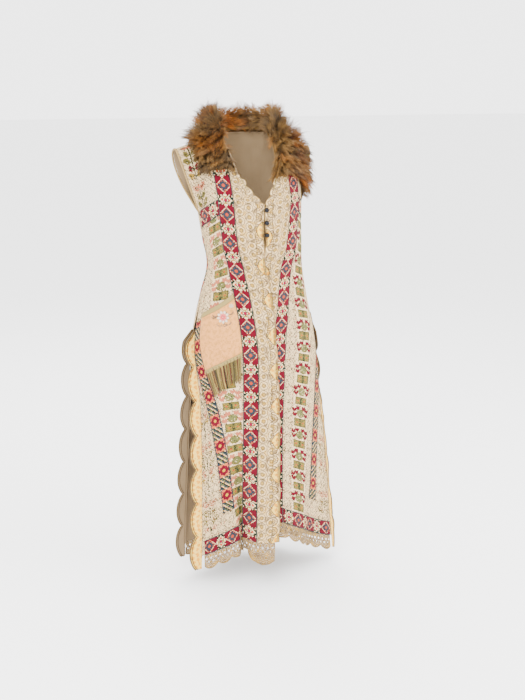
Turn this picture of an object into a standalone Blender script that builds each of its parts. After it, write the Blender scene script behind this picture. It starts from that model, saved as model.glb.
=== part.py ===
"""Ankle-length sleeveless patchwork vest with a fur shawl collar, in its worn, hollow form.

Metres, +Z up, the front faces -Y and the wearer's right is at -X. The origin is where the
shoulders hold the vest up: mid-neck, level with the inner ends of the shoulder seams.
Every flat piece is a closed wall. The panels are worked out from the section table, and
what is sewn on a panel is made from that panel's points, moved out.
"""
from collections import namedtuple
from math import asin, ceil, cos, pi, sin, sqrt

import bmesh
import bpy
from mathutils import Vector

# Cloth walls and the clearances between them
PANEL_WALL = 0.0020
SEAM_GAP = 0.0003
TAPE_LIFT = 0.0007
TAPE_WALL = 0.0010
HEM_TAPE_LIFT = 0.0013
PRINT_WALL = 0.0008
LACE_LIFT = 0.0020
LACE_WALL = 0.0010
BORDER_LIFT = 0.0007
COLLAR_LIFT = 0.0036

# Shoulder seam, from its inner end at the neck to the armhole
NECK_HALF = 0.070
TIP_HALF = 0.197
TIP_DROP = 0.040
NECK_BACK = 0.050
ROLL = 1.25
NECK_SCOOP = 2.8
ARM_SCOOP = 1.2
LACE_START = 3.5
ARMHOLE_FORWARD = 0.024
ARMHOLE_BACKWARD = 0.052

# Row numbers that all three panels share
ARM_ROW = 6
BUST_ROW = 7
POCKET_TOP_ROW = 11
SLIT_ROW = 12
POCKET_FOOT_ROW = 14
HEM_TAPE_ROW = 23
HEM_ROW = 24
BAND = 0.045

# Column numbers of a front, from its free edge to its side
TAPE_IN = 2
TAPE_OUT = 4
SKIRT_IN = 8
SKIRT_OUT = 9
SIDE = 11
FRONT_COLUMNS = (0, TAPE_IN, TAPE_OUT, SKIRT_IN, SKIRT_OUT, SIDE)
TAPE_WIDTH = 0.045

# Column numbers of the back run from -BACK_SIDE on the right to +BACK_SIDE
BACK_SIDE = 8
BACK_NECK = 3
BACK_SPREAD = 0.8

# Round sections of the worn vest. Edge columns are the x of each front's free edge, square is
# the roundness (2 is an ellipse, less is flatter at the sides) and open is half the side slit.
Section = namedtuple("Section", "height half front back lean square open edge_right edge_left")
SECTIONS = (
    Section(-0.18, 0.153, 0.120, 0.105, 0.015, 2.2, 0.000, 0.009, 0.025),
    Section(-0.30, 0.145, 0.120, 0.098, 0.026, 2.2, 0.000, 0.009, 0.025),
    Section(-0.37, 0.141, 0.117, 0.095, 0.033, 2.1, 0.000, 0.013, 0.023),
    Section(-0.46, 0.160, 0.120, 0.105, 0.030, 2.0, 0.000, 0.030, 0.012),
    Section(-0.58, 0.186, 0.130, 0.118, 0.032, 1.9, 0.003, 0.038, -0.008),
    Section(-0.75, 0.194, 0.142, 0.132, 0.040, 1.7, 0.010, 0.040, -0.012),
    Section(-0.95, 0.205, 0.152, 0.146, 0.048, 1.5, 0.018, 0.038, -0.010),
    Section(-1.30, 0.214, 0.165, 0.164, 0.055, 1.4, 0.026, 0.030, -0.004),
)

# Widths cut in each front: the border beside the free edge, the slanted skirt tape and the gore
Cut = namedtuple("Cut", "height border_right border_left skirt_tape gore overhang")
CUTS = (
    Cut(-0.18, 0.078, 0.080, 0.018, 0.024, 0.000),
    Cut(-0.30, 0.066, 0.064, 0.018, 0.020, 0.000),
    Cut(-0.37, 0.052, 0.050, 0.020, 0.014, 0.000),
    Cut(-0.45, 0.052, 0.051, 0.024, 0.010, 0.000),
    Cut(-0.53, 0.047, 0.053, 0.024, 0.002, 0.004),
    Cut(-0.60, 0.044, 0.052, 0.027, 0.002, 0.008),
    Cut(-0.68, 0.045, 0.048, 0.033, 0.008, 0.014),
    Cut(-0.78, 0.047, 0.041, 0.036, 0.030, 0.020),
    Cut(-0.95, 0.050, 0.032, 0.036, 0.056, 0.022),
    Cut(-1.30, 0.048, 0.022, 0.036, 0.090, 0.022),
)

# Heights of the underarm row and of the panel's foot along each front
Level = namedtuple("Level", "column underarm foot_right foot_left")
LEVELS = (
    Level(0, -0.190, -1.170, -1.115),
    Level(TAPE_IN, -0.180, -1.170, -1.118),
    Level(TAPE_OUT, -0.175, -1.168, -1.122),
    Level(SKIRT_IN, -0.200, -1.172, -1.182),
    Level(SIDE, -0.222, -1.235, -1.235),
)
BACK_UNDERARM = -0.215
BACK_FOOT = -1.245

# The largest folds: where they stand, how far they reach to each side, how deep they are at
# the hem (positive is outward) and the height at which they start. Columns are panel columns.
Fold = namedtuple("Fold", "column reach depth start")
FOLDS_RIGHT = (
    Fold(0.8, 3.6, 0.030, -0.50),
    Fold(5.0, 2.6, -0.024, -0.50),
    Fold(8.6, 2.6, 0.012, -0.70),
    Fold(SIDE, 1.8, 0.016, -0.62),
)
FOLDS_LEFT = (
    Fold(5.0, 3.0, 0.014, -0.60),
    Fold(8.4, 2.0, -0.012, -0.72),
    Fold(SIDE, 1.8, 0.016, -0.62),
)
FOLDS_BACK = (
    Fold(-7.6, 1.6, 0.012, -0.60),
    Fold(-5.0, 1.8, -0.016, -0.55),
    Fold(-2.3, 1.9, 0.018, -0.50),
    Fold(0.3, 1.7, -0.020, -0.42),
    Fold(2.9, 1.8, 0.017, -0.52),
    Fold(5.4, 1.7, -0.014, -0.58),
    Fold(7.6, 1.6, 0.012, -0.60),
)
UNDERLAP = 0.009
UNDERLAP_START = -0.30
UNDERLAP_FULL = -0.41
FOLD_FOOT = -1.20

# Scalloped edges: length of a scallop, its depth and the segments that draw it
EDGE_PITCH = 0.100
EDGE_DEPTH = 0.012
EDGE_DEPTH_TOP = 0.006
EDGE_SEGMENTS = 6
EDGE_STRIP = 0.12
PRINT_OUT = 0.004
SIDE_PITCH = 0.104
SIDE_DEPTH = 0.018
SIDE_NOTCH = 0.010
SIDE_RISE = 0.9
SIDE_FLARE = 0.85
SIDE_INSIDE = 0.010
SIDE_LEAST = 0.003
SIDE_SEGMENTS = 6
SIDE_DROP = 0.040

# Hem lace: its rows below the panel's foot, and the eyelets of one scallop
LACE_HOLE_TOP = 0.012
LACE_HOLE_FOOT = 0.018
LACE_SHORT = 0.036
LACE_LONG = 0.048
BAND_LACE_LONG = 0.066
LACE_PITCH = 0.048
EYELETS = 3
EYELET = 0.006
LACE_END = 0.35
BACK_LACE_END = 0.30
BAND_TURN = 0.16

# Fur collar: each front station's row at the neckline and further out, its outer column and the
# height that the fur stands above the cloth; back stations run from the neckline to the outside.
Lapel = namedtuple("Lapel", "neck_row outer_row outer_column height")
LAPEL_RIGHT = (
    Lapel(3.7, 3.7, 5.2, 0.012),
    Lapel(3.4, 3.5, 6.0, 0.026),
    Lapel(3.0, 3.2, 6.6, 0.036),
    Lapel(2.5, 2.7, 7.0, 0.043),
    Lapel(2.0, 2.2, 7.3, 0.049),
    Lapel(1.5, 1.6, 7.3, 0.055),
    Lapel(1.0, 1.1, 7.0, 0.061),
    Lapel(0.5, 0.5, 6.8, 0.067),
    Lapel(0.0, 0.0, 6.6, 0.070),
)
LAPEL_LEFT = (
    Lapel(4.2, 5.3, 10.6, 0.012),
    Lapel(4.0, 5.0, 11.0, 0.028),
    Lapel(3.5, 4.3, 11.2, 0.038),
    Lapel(3.0, 3.6, 10.9, 0.044),
    Lapel(2.5, 2.9, 10.4, 0.049),
    Lapel(2.0, 2.2, 9.6, 0.054),
    Lapel(1.5, 1.6, 8.8, 0.058),
    Lapel(1.0, 1.1, 8.0, 0.062),
    Lapel(0.5, 0.5, 7.5, 0.067),
    Lapel(0.0, 0.0, 7.2, 0.070),
)
Nape = namedtuple("Nape", "neck_column neck_row outer_column outer_row height")
NAPE = (
    Nape(2.8, -0.2, 6.3, 0.8, 0.071),
    Nape(2.5, -0.4, 5.2, 1.8, 0.071),
    Nape(1.8, -0.5, 3.4, 2.5, 0.070),
    Nape(0.9, -0.5, 1.6, 2.8, 0.069),
)
NAPE_MIDDLE = Nape(0.0, -0.5, 0.0, 2.9, 0.069)
COLLAR_SHAPE = (0.35, 0.95, 1.00, 0.88, 0.64, 0.38, 0.08)
COLLAR_UPRIGHT = 0.6
COLLAR_CELLS = 12
NAPE_LIFT = 0.0065

# Trimmings
BUTTON_RADIUS = 0.0068
BUTTON_HEIGHTS = (-0.205, -0.240, -0.275)
POCKET_WALL = 0.0016
POCKET_LIFT = 0.0012
POCKET_TILT = 0.80
POCKET_STEPS = 2
TRIM_HEIGHT = 0.016
TAPE_JOIN = 0.02
HEM_TAPE_END = 0.4
BUTTON_OUT = 0.004
FRINGE_STRANDS = 22
FRINGE_LENGTH = 0.072
FRINGE_STEPS = 3
FRINGE_LIFT = 0.0034
FRINGE_WALL = 0.0022
FRINGE_INSET = 0.1
FRINGE_HEAD = 0.14
FRINGE_HEAD_FOOT = 0.02
FLOWER_PETALS = 8
Flower = namedtuple("Flower", "column row radius gap")
FLOWERS = (Flower(5.5, 11.95, 0.017, 0.0009), Flower(4.5, 11.45, 0.007, 0.0004))
FLOWER_HEIGHT = 0.0030
FLOWER_RIM = 0.4
FLOWER_CROWN = 1.3
FLOWER_CROWN_WIDTH = 0.55
FLOWER_VALLEY = 0.78
BINDING = 0.0050
BINDING_OVER = 0.0010
BINDING_UNDER = 0.0024
BINDING_GAP = 0.0014

# How far off a surface a point is taken to find the outward direction there
PROBE = 0.01

RIGHT = -1
LEFT = 1


def smooth(share):
    share = min(max(share, 0.0), 1.0)
    return share * share * (3.0 - 2.0 * share)


def mix(first, second, share):
    return first + (second - first) * share


def along(stops, values, at):
    """Straight-line reading of a few stops."""
    if at <= stops[0]:
        return values[0]
    for low, high, first, second in zip(stops, stops[1:], values, values[1:]):
        if at <= high:
            return mix(first, second, (at - low) / (high - low))
    return values[-1]


def read(table, height, field):
    """Smooth reading of one column of a table whose heights fall from row to row."""
    heights = [row.height for row in table]
    values = [getattr(row, field) for row in table]
    if height >= heights[0]:
        return values[0]
    if height <= heights[-1]:
        return values[-1]
    row = max(index for index, level in enumerate(heights) if level >= height)
    row = min(row, len(heights) - 2)
    slopes = []
    for index in (row, row + 1):
        before = max(index - 1, 0)
        after = min(index + 1, len(heights) - 1)
        slopes.append((values[after] - values[before]) / (heights[after] - heights[before]))
    span = heights[row + 1] - heights[row]
    share = (height - heights[row]) / span
    square, cube = share ** 2, share ** 3
    value = (values[row] * (2 * cube - 3 * square + 1) + slopes[0] * span * (cube - 2 * square + share)
             + values[row + 1] * (3 * square - 2 * cube) + slopes[1] * span * (cube - square))
    lowest, highest = sorted((values[row], values[row + 1]))
    return min(max(value, lowest), highest)


def ring_walk(half, depth, square, start, samples=90):
    """A quarter of a section, from x = start to the side, with the length walked so far."""
    power = 2.0 / square
    first = asin(min(abs(start / half), 1.0) ** (1.0 / power))
    first = -first if start < 0 else first
    points = []
    for step in range(samples + 1):
        angle = mix(first, pi / 2, step / samples)
        across = half * abs(sin(angle)) ** power
        points.append((-across if angle < 0 else across, depth * abs(cos(angle)) ** power))
    walked = [0.0]
    for before, after in zip(points, points[1:]):
        walked.append(walked[-1] + sqrt((after[0] - before[0]) ** 2 + (after[1] - before[1]) ** 2))
    return points, walked


def on_ring(points, walked, distance):
    """The point at a distance along the walk, with the outward direction there."""
    index = max(i for i, length in enumerate(walked[:-1]) if length <= max(distance, 0.0))
    share = (distance - walked[index]) / (walked[index + 1] - walked[index])
    (x0, y0), (x1, y1) = points[index], points[index + 1]
    outward = Vector((y0 - y1, x1 - x0)).normalized()
    return Vector((mix(x0, x1, share), mix(y0, y1, share))), outward


def fold_depth(folds, column, height):
    total = 0.0
    for fold in folds:
        away = abs(column - fold.column) / fold.reach
        if away < 1.0 and height < fold.start:
            growth = (fold.start - height) / (fold.start - FOLD_FOOT)
            total += fold.depth * cos(away * pi / 2) ** 2 * smooth(growth * 0.5) * 2.0
    return total


def front_at(hand, column, height):
    """A point of a front's outer face below the armhole."""
    field = "right" if hand == RIGHT else "left"
    lean = read(SECTIONS, height, "lean")
    start = (read(SECTIONS, height, "edge_" + field) - lean) * hand
    slit = read(SECTIONS, height, "open")
    points, walked = ring_walk(read(SECTIONS, height, "half"), read(SECTIONS, height, "front") - slit,
                               read(SECTIONS, height, "square"), start)
    border = read(CUTS, height, "border_" + field)
    skirt, gore = read(CUTS, height, "skirt_tape"), read(CUTS, height, "gore")
    reach = walked[-1] - read(CUTS, height, "overhang")
    knots = (0.0, border, border + TAPE_WIDTH, reach - gore - skirt, reach - gore, reach)
    point, outward = on_ring(points, walked, along(FRONT_COLUMNS, knots, column))
    shift = fold_depth(FOLDS_RIGHT if hand == RIGHT else FOLDS_LEFT, column, height)
    if hand == LEFT:
        under = smooth((height - UNDERLAP_START) / (UNDERLAP_FULL - UNDERLAP_START))
        shift -= UNDERLAP * under * (1.0 - smooth((column - TAPE_OUT) / (SKIRT_IN - TAPE_OUT)))
    point += outward * shift
    return Vector((lean + hand * point.x, -slit - SEAM_GAP / 2 - point.y, height))


def back_at(column, height):
    """A point of the back's outer face below the armhole."""
    hand = -1.0 if column < 0 else 1.0
    slit = read(SECTIONS, height, "open")
    half = read(SECTIONS, height, "half") + slit * BACK_SPREAD
    points, walked = ring_walk(half, read(SECTIONS, height, "back") - slit,
                               read(SECTIONS, height, "square"), 0.0)
    reach = walked[-1] - read(CUTS, height, "overhang")
    point, outward = on_ring(points, walked, reach * abs(column) / BACK_SIDE)
    point += outward * fold_depth(FOLDS_BACK, column, height)
    lean = read(SECTIONS, height, "lean")
    return Vector((lean + hand * point.x, slit + SEAM_GAP / 2 + point.y, height))


def row_height(underarm, foot, row):
    if row <= BUST_ROW:
        return underarm - BAND * (row - ARM_ROW)
    if row <= HEM_TAPE_ROW:
        share = (row - BUST_ROW) / (HEM_TAPE_ROW - BUST_ROW)
        return mix(underarm - BAND, foot + BAND, share)
    return foot + BAND - BAND * (row - HEM_TAPE_ROW)


def shoulder(half_width, side):
    """A point of the shoulder seam; side is -1 on the front and +1 on the back."""
    drop = TIP_DROP * (abs(half_width) - NECK_HALF) / (TIP_HALF - NECK_HALF)
    return Vector((half_width, side * SEAM_GAP / 2, -drop))


def yoke(top, under, row, pull, scoop, bow):
    """A point between the shoulder seam and the underarm row, rounded over the shoulder."""
    angle = row / ARM_ROW * pi / 2
    fall = 1.0 - max(cos(angle), 0.0) ** ROLL
    out = sin(angle) ** ROLL
    point = Vector((mix(top.x, under.x, mix(row / ARM_ROW, fall ** scoop, pull)),
                    mix(top.y, under.y, out), mix(top.z, under.z, fall)))
    return point + bow * sin(row / ARM_ROW * pi)


def front_point(hand, column, row):
    stops = [level.column for level in LEVELS]
    underarm = along(stops, [level.underarm for level in LEVELS], column)
    foot_field = "foot_right" if hand == RIGHT else "foot_left"
    foot = along(stops, [getattr(level, foot_field) for level in LEVELS], column)
    if row >= ARM_ROW:
        return front_at(hand, column, row_height(underarm, foot, row))
    width = along((0, TAPE_IN, TAPE_OUT, SIDE), (NECK_HALF, 0.086, 0.128, TIP_HALF), column)
    top = shoulder(hand * width, -1)
    under = front_at(hand, column, underarm)
    outer = max(column - TAPE_OUT, 0) / (SIDE - TAPE_OUT)
    bow = Vector((0.0, -ARMHOLE_FORWARD, 0.0)) * outer ** 2
    pull = max(1.0 - column / TAPE_IN, outer, 0.0)
    return yoke(top, under, row, pull, NECK_SCOOP if column < TAPE_IN else ARM_SCOOP, bow)


def back_point(column, row):
    if row >= ARM_ROW:
        rise = LEVELS[-1].underarm - BACK_UNDERARM
        underarm = BACK_UNDERARM + rise * smooth(abs(column) / BACK_SIDE)
        foot = mix(BACK_FOOT, LEVELS[-1].foot_right, smooth(abs(column) / BACK_SIDE))
        return back_at(column, row_height(underarm, foot, row))
    hand = -1.0 if column < 0 else 1.0
    if abs(column) < BACK_NECK:
        turn = abs(column) / BACK_NECK * pi / 2
        top = Vector((hand * NECK_HALF * sin(turn), NECK_BACK * cos(turn) + SEAM_GAP / 2, 0.0))
    else:
        share = (abs(column) - BACK_NECK) / (BACK_SIDE - BACK_NECK)
        top = shoulder(hand * mix(NECK_HALF, TIP_HALF, share), 1)
    under = back_point(column, ARM_ROW)
    outer = max(abs(column) - BACK_NECK, 0) / (BACK_SIDE - BACK_NECK)
    bow = Vector((0.0, ARMHOLE_BACKWARD, 0.0)) * outer ** 2
    return yoke(top, under, row, outer, ARM_SCOOP, bow)


class Panel:
    """A panel's outer points and outward directions on a grid of rows and columns."""

    def __init__(self, place, first, last, outward, seams):
        self.first, self.last, self.outward = first, last, outward
        self.points = [[place(column, row) for column in range(first, last + 1)]
                       for row in range(HEM_ROW + 1)]
        self.normals = [[self.direction(row, column) for column in range(last - first + 1)]
                        for row in range(HEM_ROW + 1)]
        for column in range(last - first + 1):
            if column + first <= -BACK_NECK or column + first >= BACK_NECK or first == 0:
                self.normals[0][column].y = 0.0
                self.normals[0][column].normalize()
        for column, toward in seams:
            for row in range(ARM_ROW, SLIT_ROW + 1):
                self.normals[row][column - first] = Vector((toward, 0.0, 0.0))

    def direction(self, row, column):
        rows, columns = len(self.points) - 1, len(self.points[0]) - 1
        across = self.points[row][min(column + 1, columns)] - self.points[row][max(column - 1, 0)]
        down = self.points[min(row + 1, rows)][column] - self.points[max(row - 1, 0)][column]
        return (across.cross(down) * self.outward).normalized()

    def cell(self, column, row):
        left = min(max(int(column - self.first // 1), 0), self.last - self.first - 1)
        top = min(max(int(row), 0), HEM_ROW - 1)
        return left, top, column - self.first - left, row - top

    def at(self, column, row, lift=0.0):
        """A point on the panel's facets, moved out by lift. It runs on past the panel's edges."""
        left, top, u, v = self.cell(column, row)
        corners = ((top, left), (top, left + 1), (top + 1, left), (top + 1, left + 1))
        shares = ((1 - u) * (1 - v), u * (1 - v), (1 - u) * v, u * v)
        point = Vector((0.0, 0.0, 0.0))
        for (r, c), share in zip(corners, shares):
            point += self.points[r][c] * share
        u, v = min(max(u, 0.0), 1.0), min(max(v, 0.0), 1.0)
        shares = ((1 - u) * (1 - v), u * (1 - v), (1 - u) * v, u * v)
        normal = Vector((0.0, 0.0, 0.0))
        for (r, c), share in zip(corners, shares):
            normal += self.normals[r][c] * share
        return point + normal.normalized() * lift

    def beyond(self, column, row, toward, distance, lift):
        """A point at a distance from a column line, measured on the panel."""
        base = self.at(column, row, lift)
        step = self.at(column + toward, row, lift) - base
        return base + step.normalized() * distance

    def lengths(self, column, first_row, last_row, steps_per_row=8):
        """Lengths walked down a column line."""
        count = int(round((last_row - first_row) * steps_per_row))
        rows = [mix(first_row, last_row, step / count) for step in range(count + 1)]
        walked = [0.0]
        for before, after in zip(rows, rows[1:]):
            walked.append(walked[-1] + (self.at(column, after) - self.at(column, before)).length)
        return rows, walked

    def scallop_rows(self, column, first_row, last_row, pitch, segments):
        """Rows at even lengths down an edge, and each one's place within its scallop."""
        rows, walked = self.lengths(column, first_row, last_row)
        scallops = max(int(round(walked[-1] / pitch)), 1)
        count = scallops * segments
        found = [along(walked, rows, walked[-1] * step / count) for step in range(count + 1)]
        for line in range(ceil(first_row), min(int(last_row), HEM_ROW) + 1):
            nearest = min(range(1, count), key=lambda step: abs(found[step] - line))
            if abs(found[nearest] - line) < 0.5 * (found[nearest + 1] - found[nearest - 1]):
                found[nearest] = float(line)
        places = [(step % segments) / segments for step in range(count + 1)]
        return list(zip(found, places))


def solid(name, vertices, faces, look):
    """One closed body with its faces pointing out."""
    mesh = bpy.data.meshes.new(name)
    mesh.from_pydata([tuple(vertex) for vertex in vertices], [], faces)
    shape = bmesh.new()
    shape.from_mesh(mesh)
    bmesh.ops.recalc_face_normals(shape, faces=shape.faces)
    if shape.calc_volume(signed=True) < 0.0:
        bmesh.ops.reverse_faces(shape, faces=shape.faces)
    shape.to_mesh(mesh)
    shape.free()
    mesh.shade_smooth()
    mesh.set_sharp_from_angle(angle=0.7)
    mesh.materials.append(look)
    item = bpy.data.objects.new(name, mesh)
    bpy.context.scene.collection.objects.link(item)
    return item


def wall(name, outer, inner, look, skip=(), closed=False):
    """A closed wall between two grids of points; skip holds the cells that are cut out."""
    rows, columns = len(outer), len(outer[0])
    vertices = [point for row in outer for point in row] + [point for row in inner for point in row]
    back = rows * columns
    faces, used = [], {}
    row_cells = rows if closed else rows - 1
    for row in range(row_cells):
        for column in range(columns - 1):
            if (row, column) in skip:
                continue
            under = (row + 1) % rows
            a, b = row * columns + column, row * columns + column + 1
            c, d = under * columns + column + 1, under * columns + column
            outward = (vertices[a] - vertices[a + back]) + (vertices[c] - vertices[c + back])
            flatter = (vertices[a] + vertices[c] - vertices[b] - vertices[d]).dot(outward)
            if flatter < 0:
                triangles = ((a, b, c), (a, c, d))
            else:
                triangles = ((a, b, d), (b, c, d))
            for triangle in triangles:
                faces.append(triangle)
                faces.append(tuple(index + back for index in reversed(triangle)))
            for edge in ((a, b), (b, c), (c, d), (d, a)):
                key = tuple(sorted(edge))
                used.setdefault(key, []).append(edge)
    for edges in used.values():
        if len(edges) == 1:
            first, second = edges[0]
            faces.append((first, first + back, second + back, second))
    kept = sorted({index for face in faces for index in face})
    renumber = {index: place for place, index in enumerate(kept)}
    faces = [tuple(renumber[index] for index in face) for face in faces]
    return solid(name, [vertices[index] for index in kept], faces, look)


def material(name, color, roughness, metallic=0.0):
    look = bpy.data.materials.new(name)
    look.use_nodes = True
    shader = look.node_tree.nodes["Principled BSDF"]
    shader.inputs["Base Color"].default_value = (*color, 1.0)
    shader.inputs["Roughness"].default_value = roughness
    shader.inputs["Metallic"].default_value = metallic
    return look


def panel_wall(name, panel, look):
    inner = [[point - normal * PANEL_WALL for point, normal in zip(points, normals)]
             for points, normals in zip(panel.points, panel.normals)]
    return wall(name, panel.points, inner, look)


def patch(name, panel, columns, rows, lift, thick, look, tilt=0.0):
    """A flat piece laid on a panel. Its rows fall by tilt from its first to its last column."""
    reach = columns[-1] - columns[0]
    falls = [tilt * (column - columns[0]) / reach for column in columns]
    outer = [[panel.at(column, row + fall, lift + thick) for column, fall in zip(columns, falls)]
             for row in rows]
    inner = [[panel.at(column, row + fall, lift) for column, fall in zip(columns, falls)]
             for row in rows]
    return wall(name, outer, inner, look)


def scallop(place, depth):
    return depth * sin(pi * place) ** 0.7 if 0.0 < place < 1.0 else 0.0


def edge_lace(name, panel, first_row, look):
    """The wide lace border beside a front's free edge."""
    outer, inner = [], []
    for row, place in panel.scallop_rows(0, first_row, HEM_ROW, EDGE_PITCH, EDGE_SEGMENTS):
        lower = smooth((panel.at(0, row).z - UNDERLAP_START) / (UNDERLAP_FULL - UNDERLAP_START))
        out = scallop(place, mix(EDGE_DEPTH_TOP, EDGE_DEPTH, lower))
        for grid, lift in ((outer, LACE_LIFT + LACE_WALL), (inner, LACE_LIFT)):
            free = panel.beyond(0, row, 0.5, -out - SEAM_GAP, lift)
            tape = panel.beyond(TAPE_IN, row, -0.5, SEAM_GAP, lift)
            grid.append([free, panel.at(EDGE_STRIP, row, lift), panel.at(1, row, lift), tape])
    return wall(name, outer, inner, look)


def edge_print(name, panel, first_row, look):
    """The printed strip under the lace, its scallops set half a scallop further down."""
    outer, inner = [], []
    for row, place in panel.scallop_rows(0, first_row, HEM_ROW, EDGE_PITCH, EDGE_SEGMENTS):
        lower = smooth((panel.at(0, row).z - UNDERLAP_START) / (UNDERLAP_FULL - UNDERLAP_START))
        depth = mix(EDGE_DEPTH_TOP, EDGE_DEPTH, lower)
        out = PRINT_OUT + scallop((place + 0.5) % 1.0, depth - PRINT_OUT)
        for grid, lift in ((outer, TAPE_LIFT + PRINT_WALL), (inner, TAPE_LIFT)):
            grid.append([panel.beyond(0, row, 0.5, -out, lift),
                         panel.beyond(0, row, 0.5, SIDE_NOTCH * 2, lift)])
    return wall(name, outer, inner, look)


def side_border(name, panel, column, inward, look):
    """The scalloped border down one side of a slit, running on below the panel's foot. On the
    wearer's right it turns out at the panel's edge and stands away from the body."""
    last = HEM_ROW + SIDE_DROP / BAND
    outer, inner = [], []
    for row, place in panel.scallop_rows(column, SLIT_ROW, last, SIDE_PITCH, SIDE_SEGMENTS):
        limit = SIDE_LEAST + (row - SLIT_ROW) * BAND * SIDE_RISE
        out = min(SIDE_NOTCH + scallop(place, SIDE_DEPTH), limit)
        inside = SIDE_INSIDE
        if column == SIDE:
            gore = read(CUTS, panel.at(column, row).z, "gore")
            inside = min(SIDE_INSIDE, gore - SEAM_GAP)
        edge = panel.at(column, row)
        outward = (panel.at(column, row, PROBE) - edge).normalized()
        onward = (edge - panel.beyond(column, row, inward * 0.5, PROBE, 0.0)).normalized()
        onward = (onward - outward * onward.dot(outward)).normalized()

        def spot(away, lift):
            return edge + onward * away + outward * lift

        flare = SIDE_FLARE if edge.x < 0 else 0.0
        toward = (onward * (1.0 - flare) + Vector((RIGHT, 0.0, 0.0)) * flare).normalized()
        facing = Vector((-toward.y, toward.x, 0.0)).normalized()
        if facing.dot(outward - onward) < 0:
            facing.negate()
        bend = spot(SEAM_GAP + LACE_WALL, BORDER_LIFT)
        raised = bend + (outward + facing).normalized() * LACE_WALL
        inner.append([bend + toward * out, bend, spot(-inside, BORDER_LIFT)])
        outer.append([bend + toward * out + facing * LACE_WALL, raised,
                      spot(-inside, BORDER_LIFT + LACE_WALL)])
    return wall(name, outer, inner, look)


def hem_lace(name, panel, first, last, look, band_columns=None):
    """Scalloped lace below a panel's foot, with a row of eyelets."""
    fine = [first + (last - first) * step / 96 for step in range(97)]
    walked = [0.0]
    for before, after in zip(fine, fine[1:]):
        walked.append(walked[-1] + (panel.at(after, HEM_ROW) - panel.at(before, HEM_ROW)).length)
    scallops = max(int(round(walked[-1] / LACE_PITCH)), 1)
    pitch = walked[-1] / scallops
    stops, places, holes = [0.0], [0.0], []
    for index in range(scallops * EYELETS):
        centre = (index + 0.5) * pitch / EYELETS
        for distance in (centre - EYELET / 2, centre + EYELET / 2):
            stops.append(distance)
            places.append(distance / pitch % 1.0)
        holes.append(len(stops) - 2)
    stops.append(walked[-1])
    places.append(0.0)
    half = (PANEL_WALL - LACE_WALL) / 2
    outer, inner = [[] for _ in range(4)], [[] for _ in range(4)]
    for distance, place in zip(stops, places):
        column = along(walked, fine, distance)
        long_foot = LACE_LONG
        if band_columns and column <= band_columns:
            long_foot = BAND_LACE_LONG
        foot = LACE_SHORT + scallop(place, long_foot - LACE_SHORT)
        if band_columns and column <= band_columns:
            turn = pi * min(column / band_columns + BAND_TURN, 1.0)
            foot = mix(LACE_SHORT, BAND_LACE_LONG, sin(turn) ** 0.5)
        depths = (SEAM_GAP, LACE_HOLE_TOP, LACE_HOLE_FOOT, foot)
        for level, depth in enumerate(depths):
            row = HEM_ROW + depth / BAND
            outer[level].append(panel.at(column, row, -half))
            inner[level].append(panel.at(column, row, -half - LACE_WALL))
    return wall(name, outer, inner, look, skip={(1, column) for column in holes})


def collar(name, right, left, back, look):
    """The fur's outer shape, over both fronts and round the nape."""
    base, top = [], []
    shares = [step / COLLAR_CELLS for step in range(COLLAR_CELLS + 1)]
    stops = [step / (len(COLLAR_SHAPE) - 1) for step in range(len(COLLAR_SHAPE))]

    def station(panel, spots, height, lift):
        low, high = [], []
        for share, (column, row) in zip(shares, spots):
            point = panel.at(column, row, lift)
            normal = (panel.at(column, row, PROBE) - panel.at(column, row)).normalized()
            rise = (normal + Vector((0.0, 0.0, COLLAR_UPRIGHT))).normalized()
            low.append(point)
            high.append(point + rise * height * along(stops, COLLAR_SHAPE, share))
        base.append(low)
        top.append(high)

    def lapel(panel, rows):
        for spot in rows:
            marks = (-1.0, 0.0, 1.0, TAPE_IN, TAPE_OUT, mix(TAPE_OUT, spot.outer_column, 0.5),
                     spot.outer_column)
            spots = []
            for share in shares:
                column = along(stops, marks, share)
                beyond = max(column - TAPE_IN, 0) / (spot.outer_column - TAPE_IN)
                spots.append((column, mix(spot.neck_row, spot.outer_row, beyond)))
            station(panel, spots, spot.height, COLLAR_LIFT)

    def nape(rows, side):
        for spot in rows:
            spots = [(side * mix(spot.neck_column, spot.outer_column, share),
                      mix(spot.neck_row, spot.outer_row, share)) for share in shares]
            station(back, spots, spot.height, NAPE_LIFT)

    lapel(right, LAPEL_RIGHT)
    nape(NAPE, -1)
    nape((NAPE_MIDDLE,), 1)
    nape(reversed(NAPE), 1)
    lapel(left, reversed(LAPEL_LEFT))
    return wall(name, top, base, look)


def binding(name, front, back, back_column, look):
    """The bound edge of an armhole, one closed loop."""
    stations = [(front, SIDE, row) for row in range(ARM_ROW, 0, -1)]
    stations.append((front, SIDE, 0))
    stations += [(back, back_column, row) for row in range(1, ARM_ROW)]
    edge, normals, cloth = [], [], []
    for panel, column, row in stations:
        edge.append(panel.at(column, row))
        normals.append((panel.at(column, row, PROBE) - edge[-1]).normalized())
        inside = column - 0.5 if column > 0 else column + 0.5
        cloth.append(panel.at(inside, row) - edge[-1])
    cloth[0] = Vector((0.0, 0.0, -1.0))
    outer, inner = [], []
    for index, (point, normal) in enumerate(zip(edge, normals)):
        before, after = edge[index - 1], edge[(index + 1) % len(edge)]
        away = (after - before).cross(normal).normalized()
        if away.dot(cloth[index]) > 0:
            away.negate()
        near, far = point + away * BINDING_GAP, point + away * BINDING
        outer.append([near + normal * BINDING_OVER, far + normal * BINDING_OVER])
        inner.append([near - normal * BINDING_UNDER, far - normal * BINDING_UNDER])
    return wall(name, outer, inner, look, closed=True)


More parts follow.
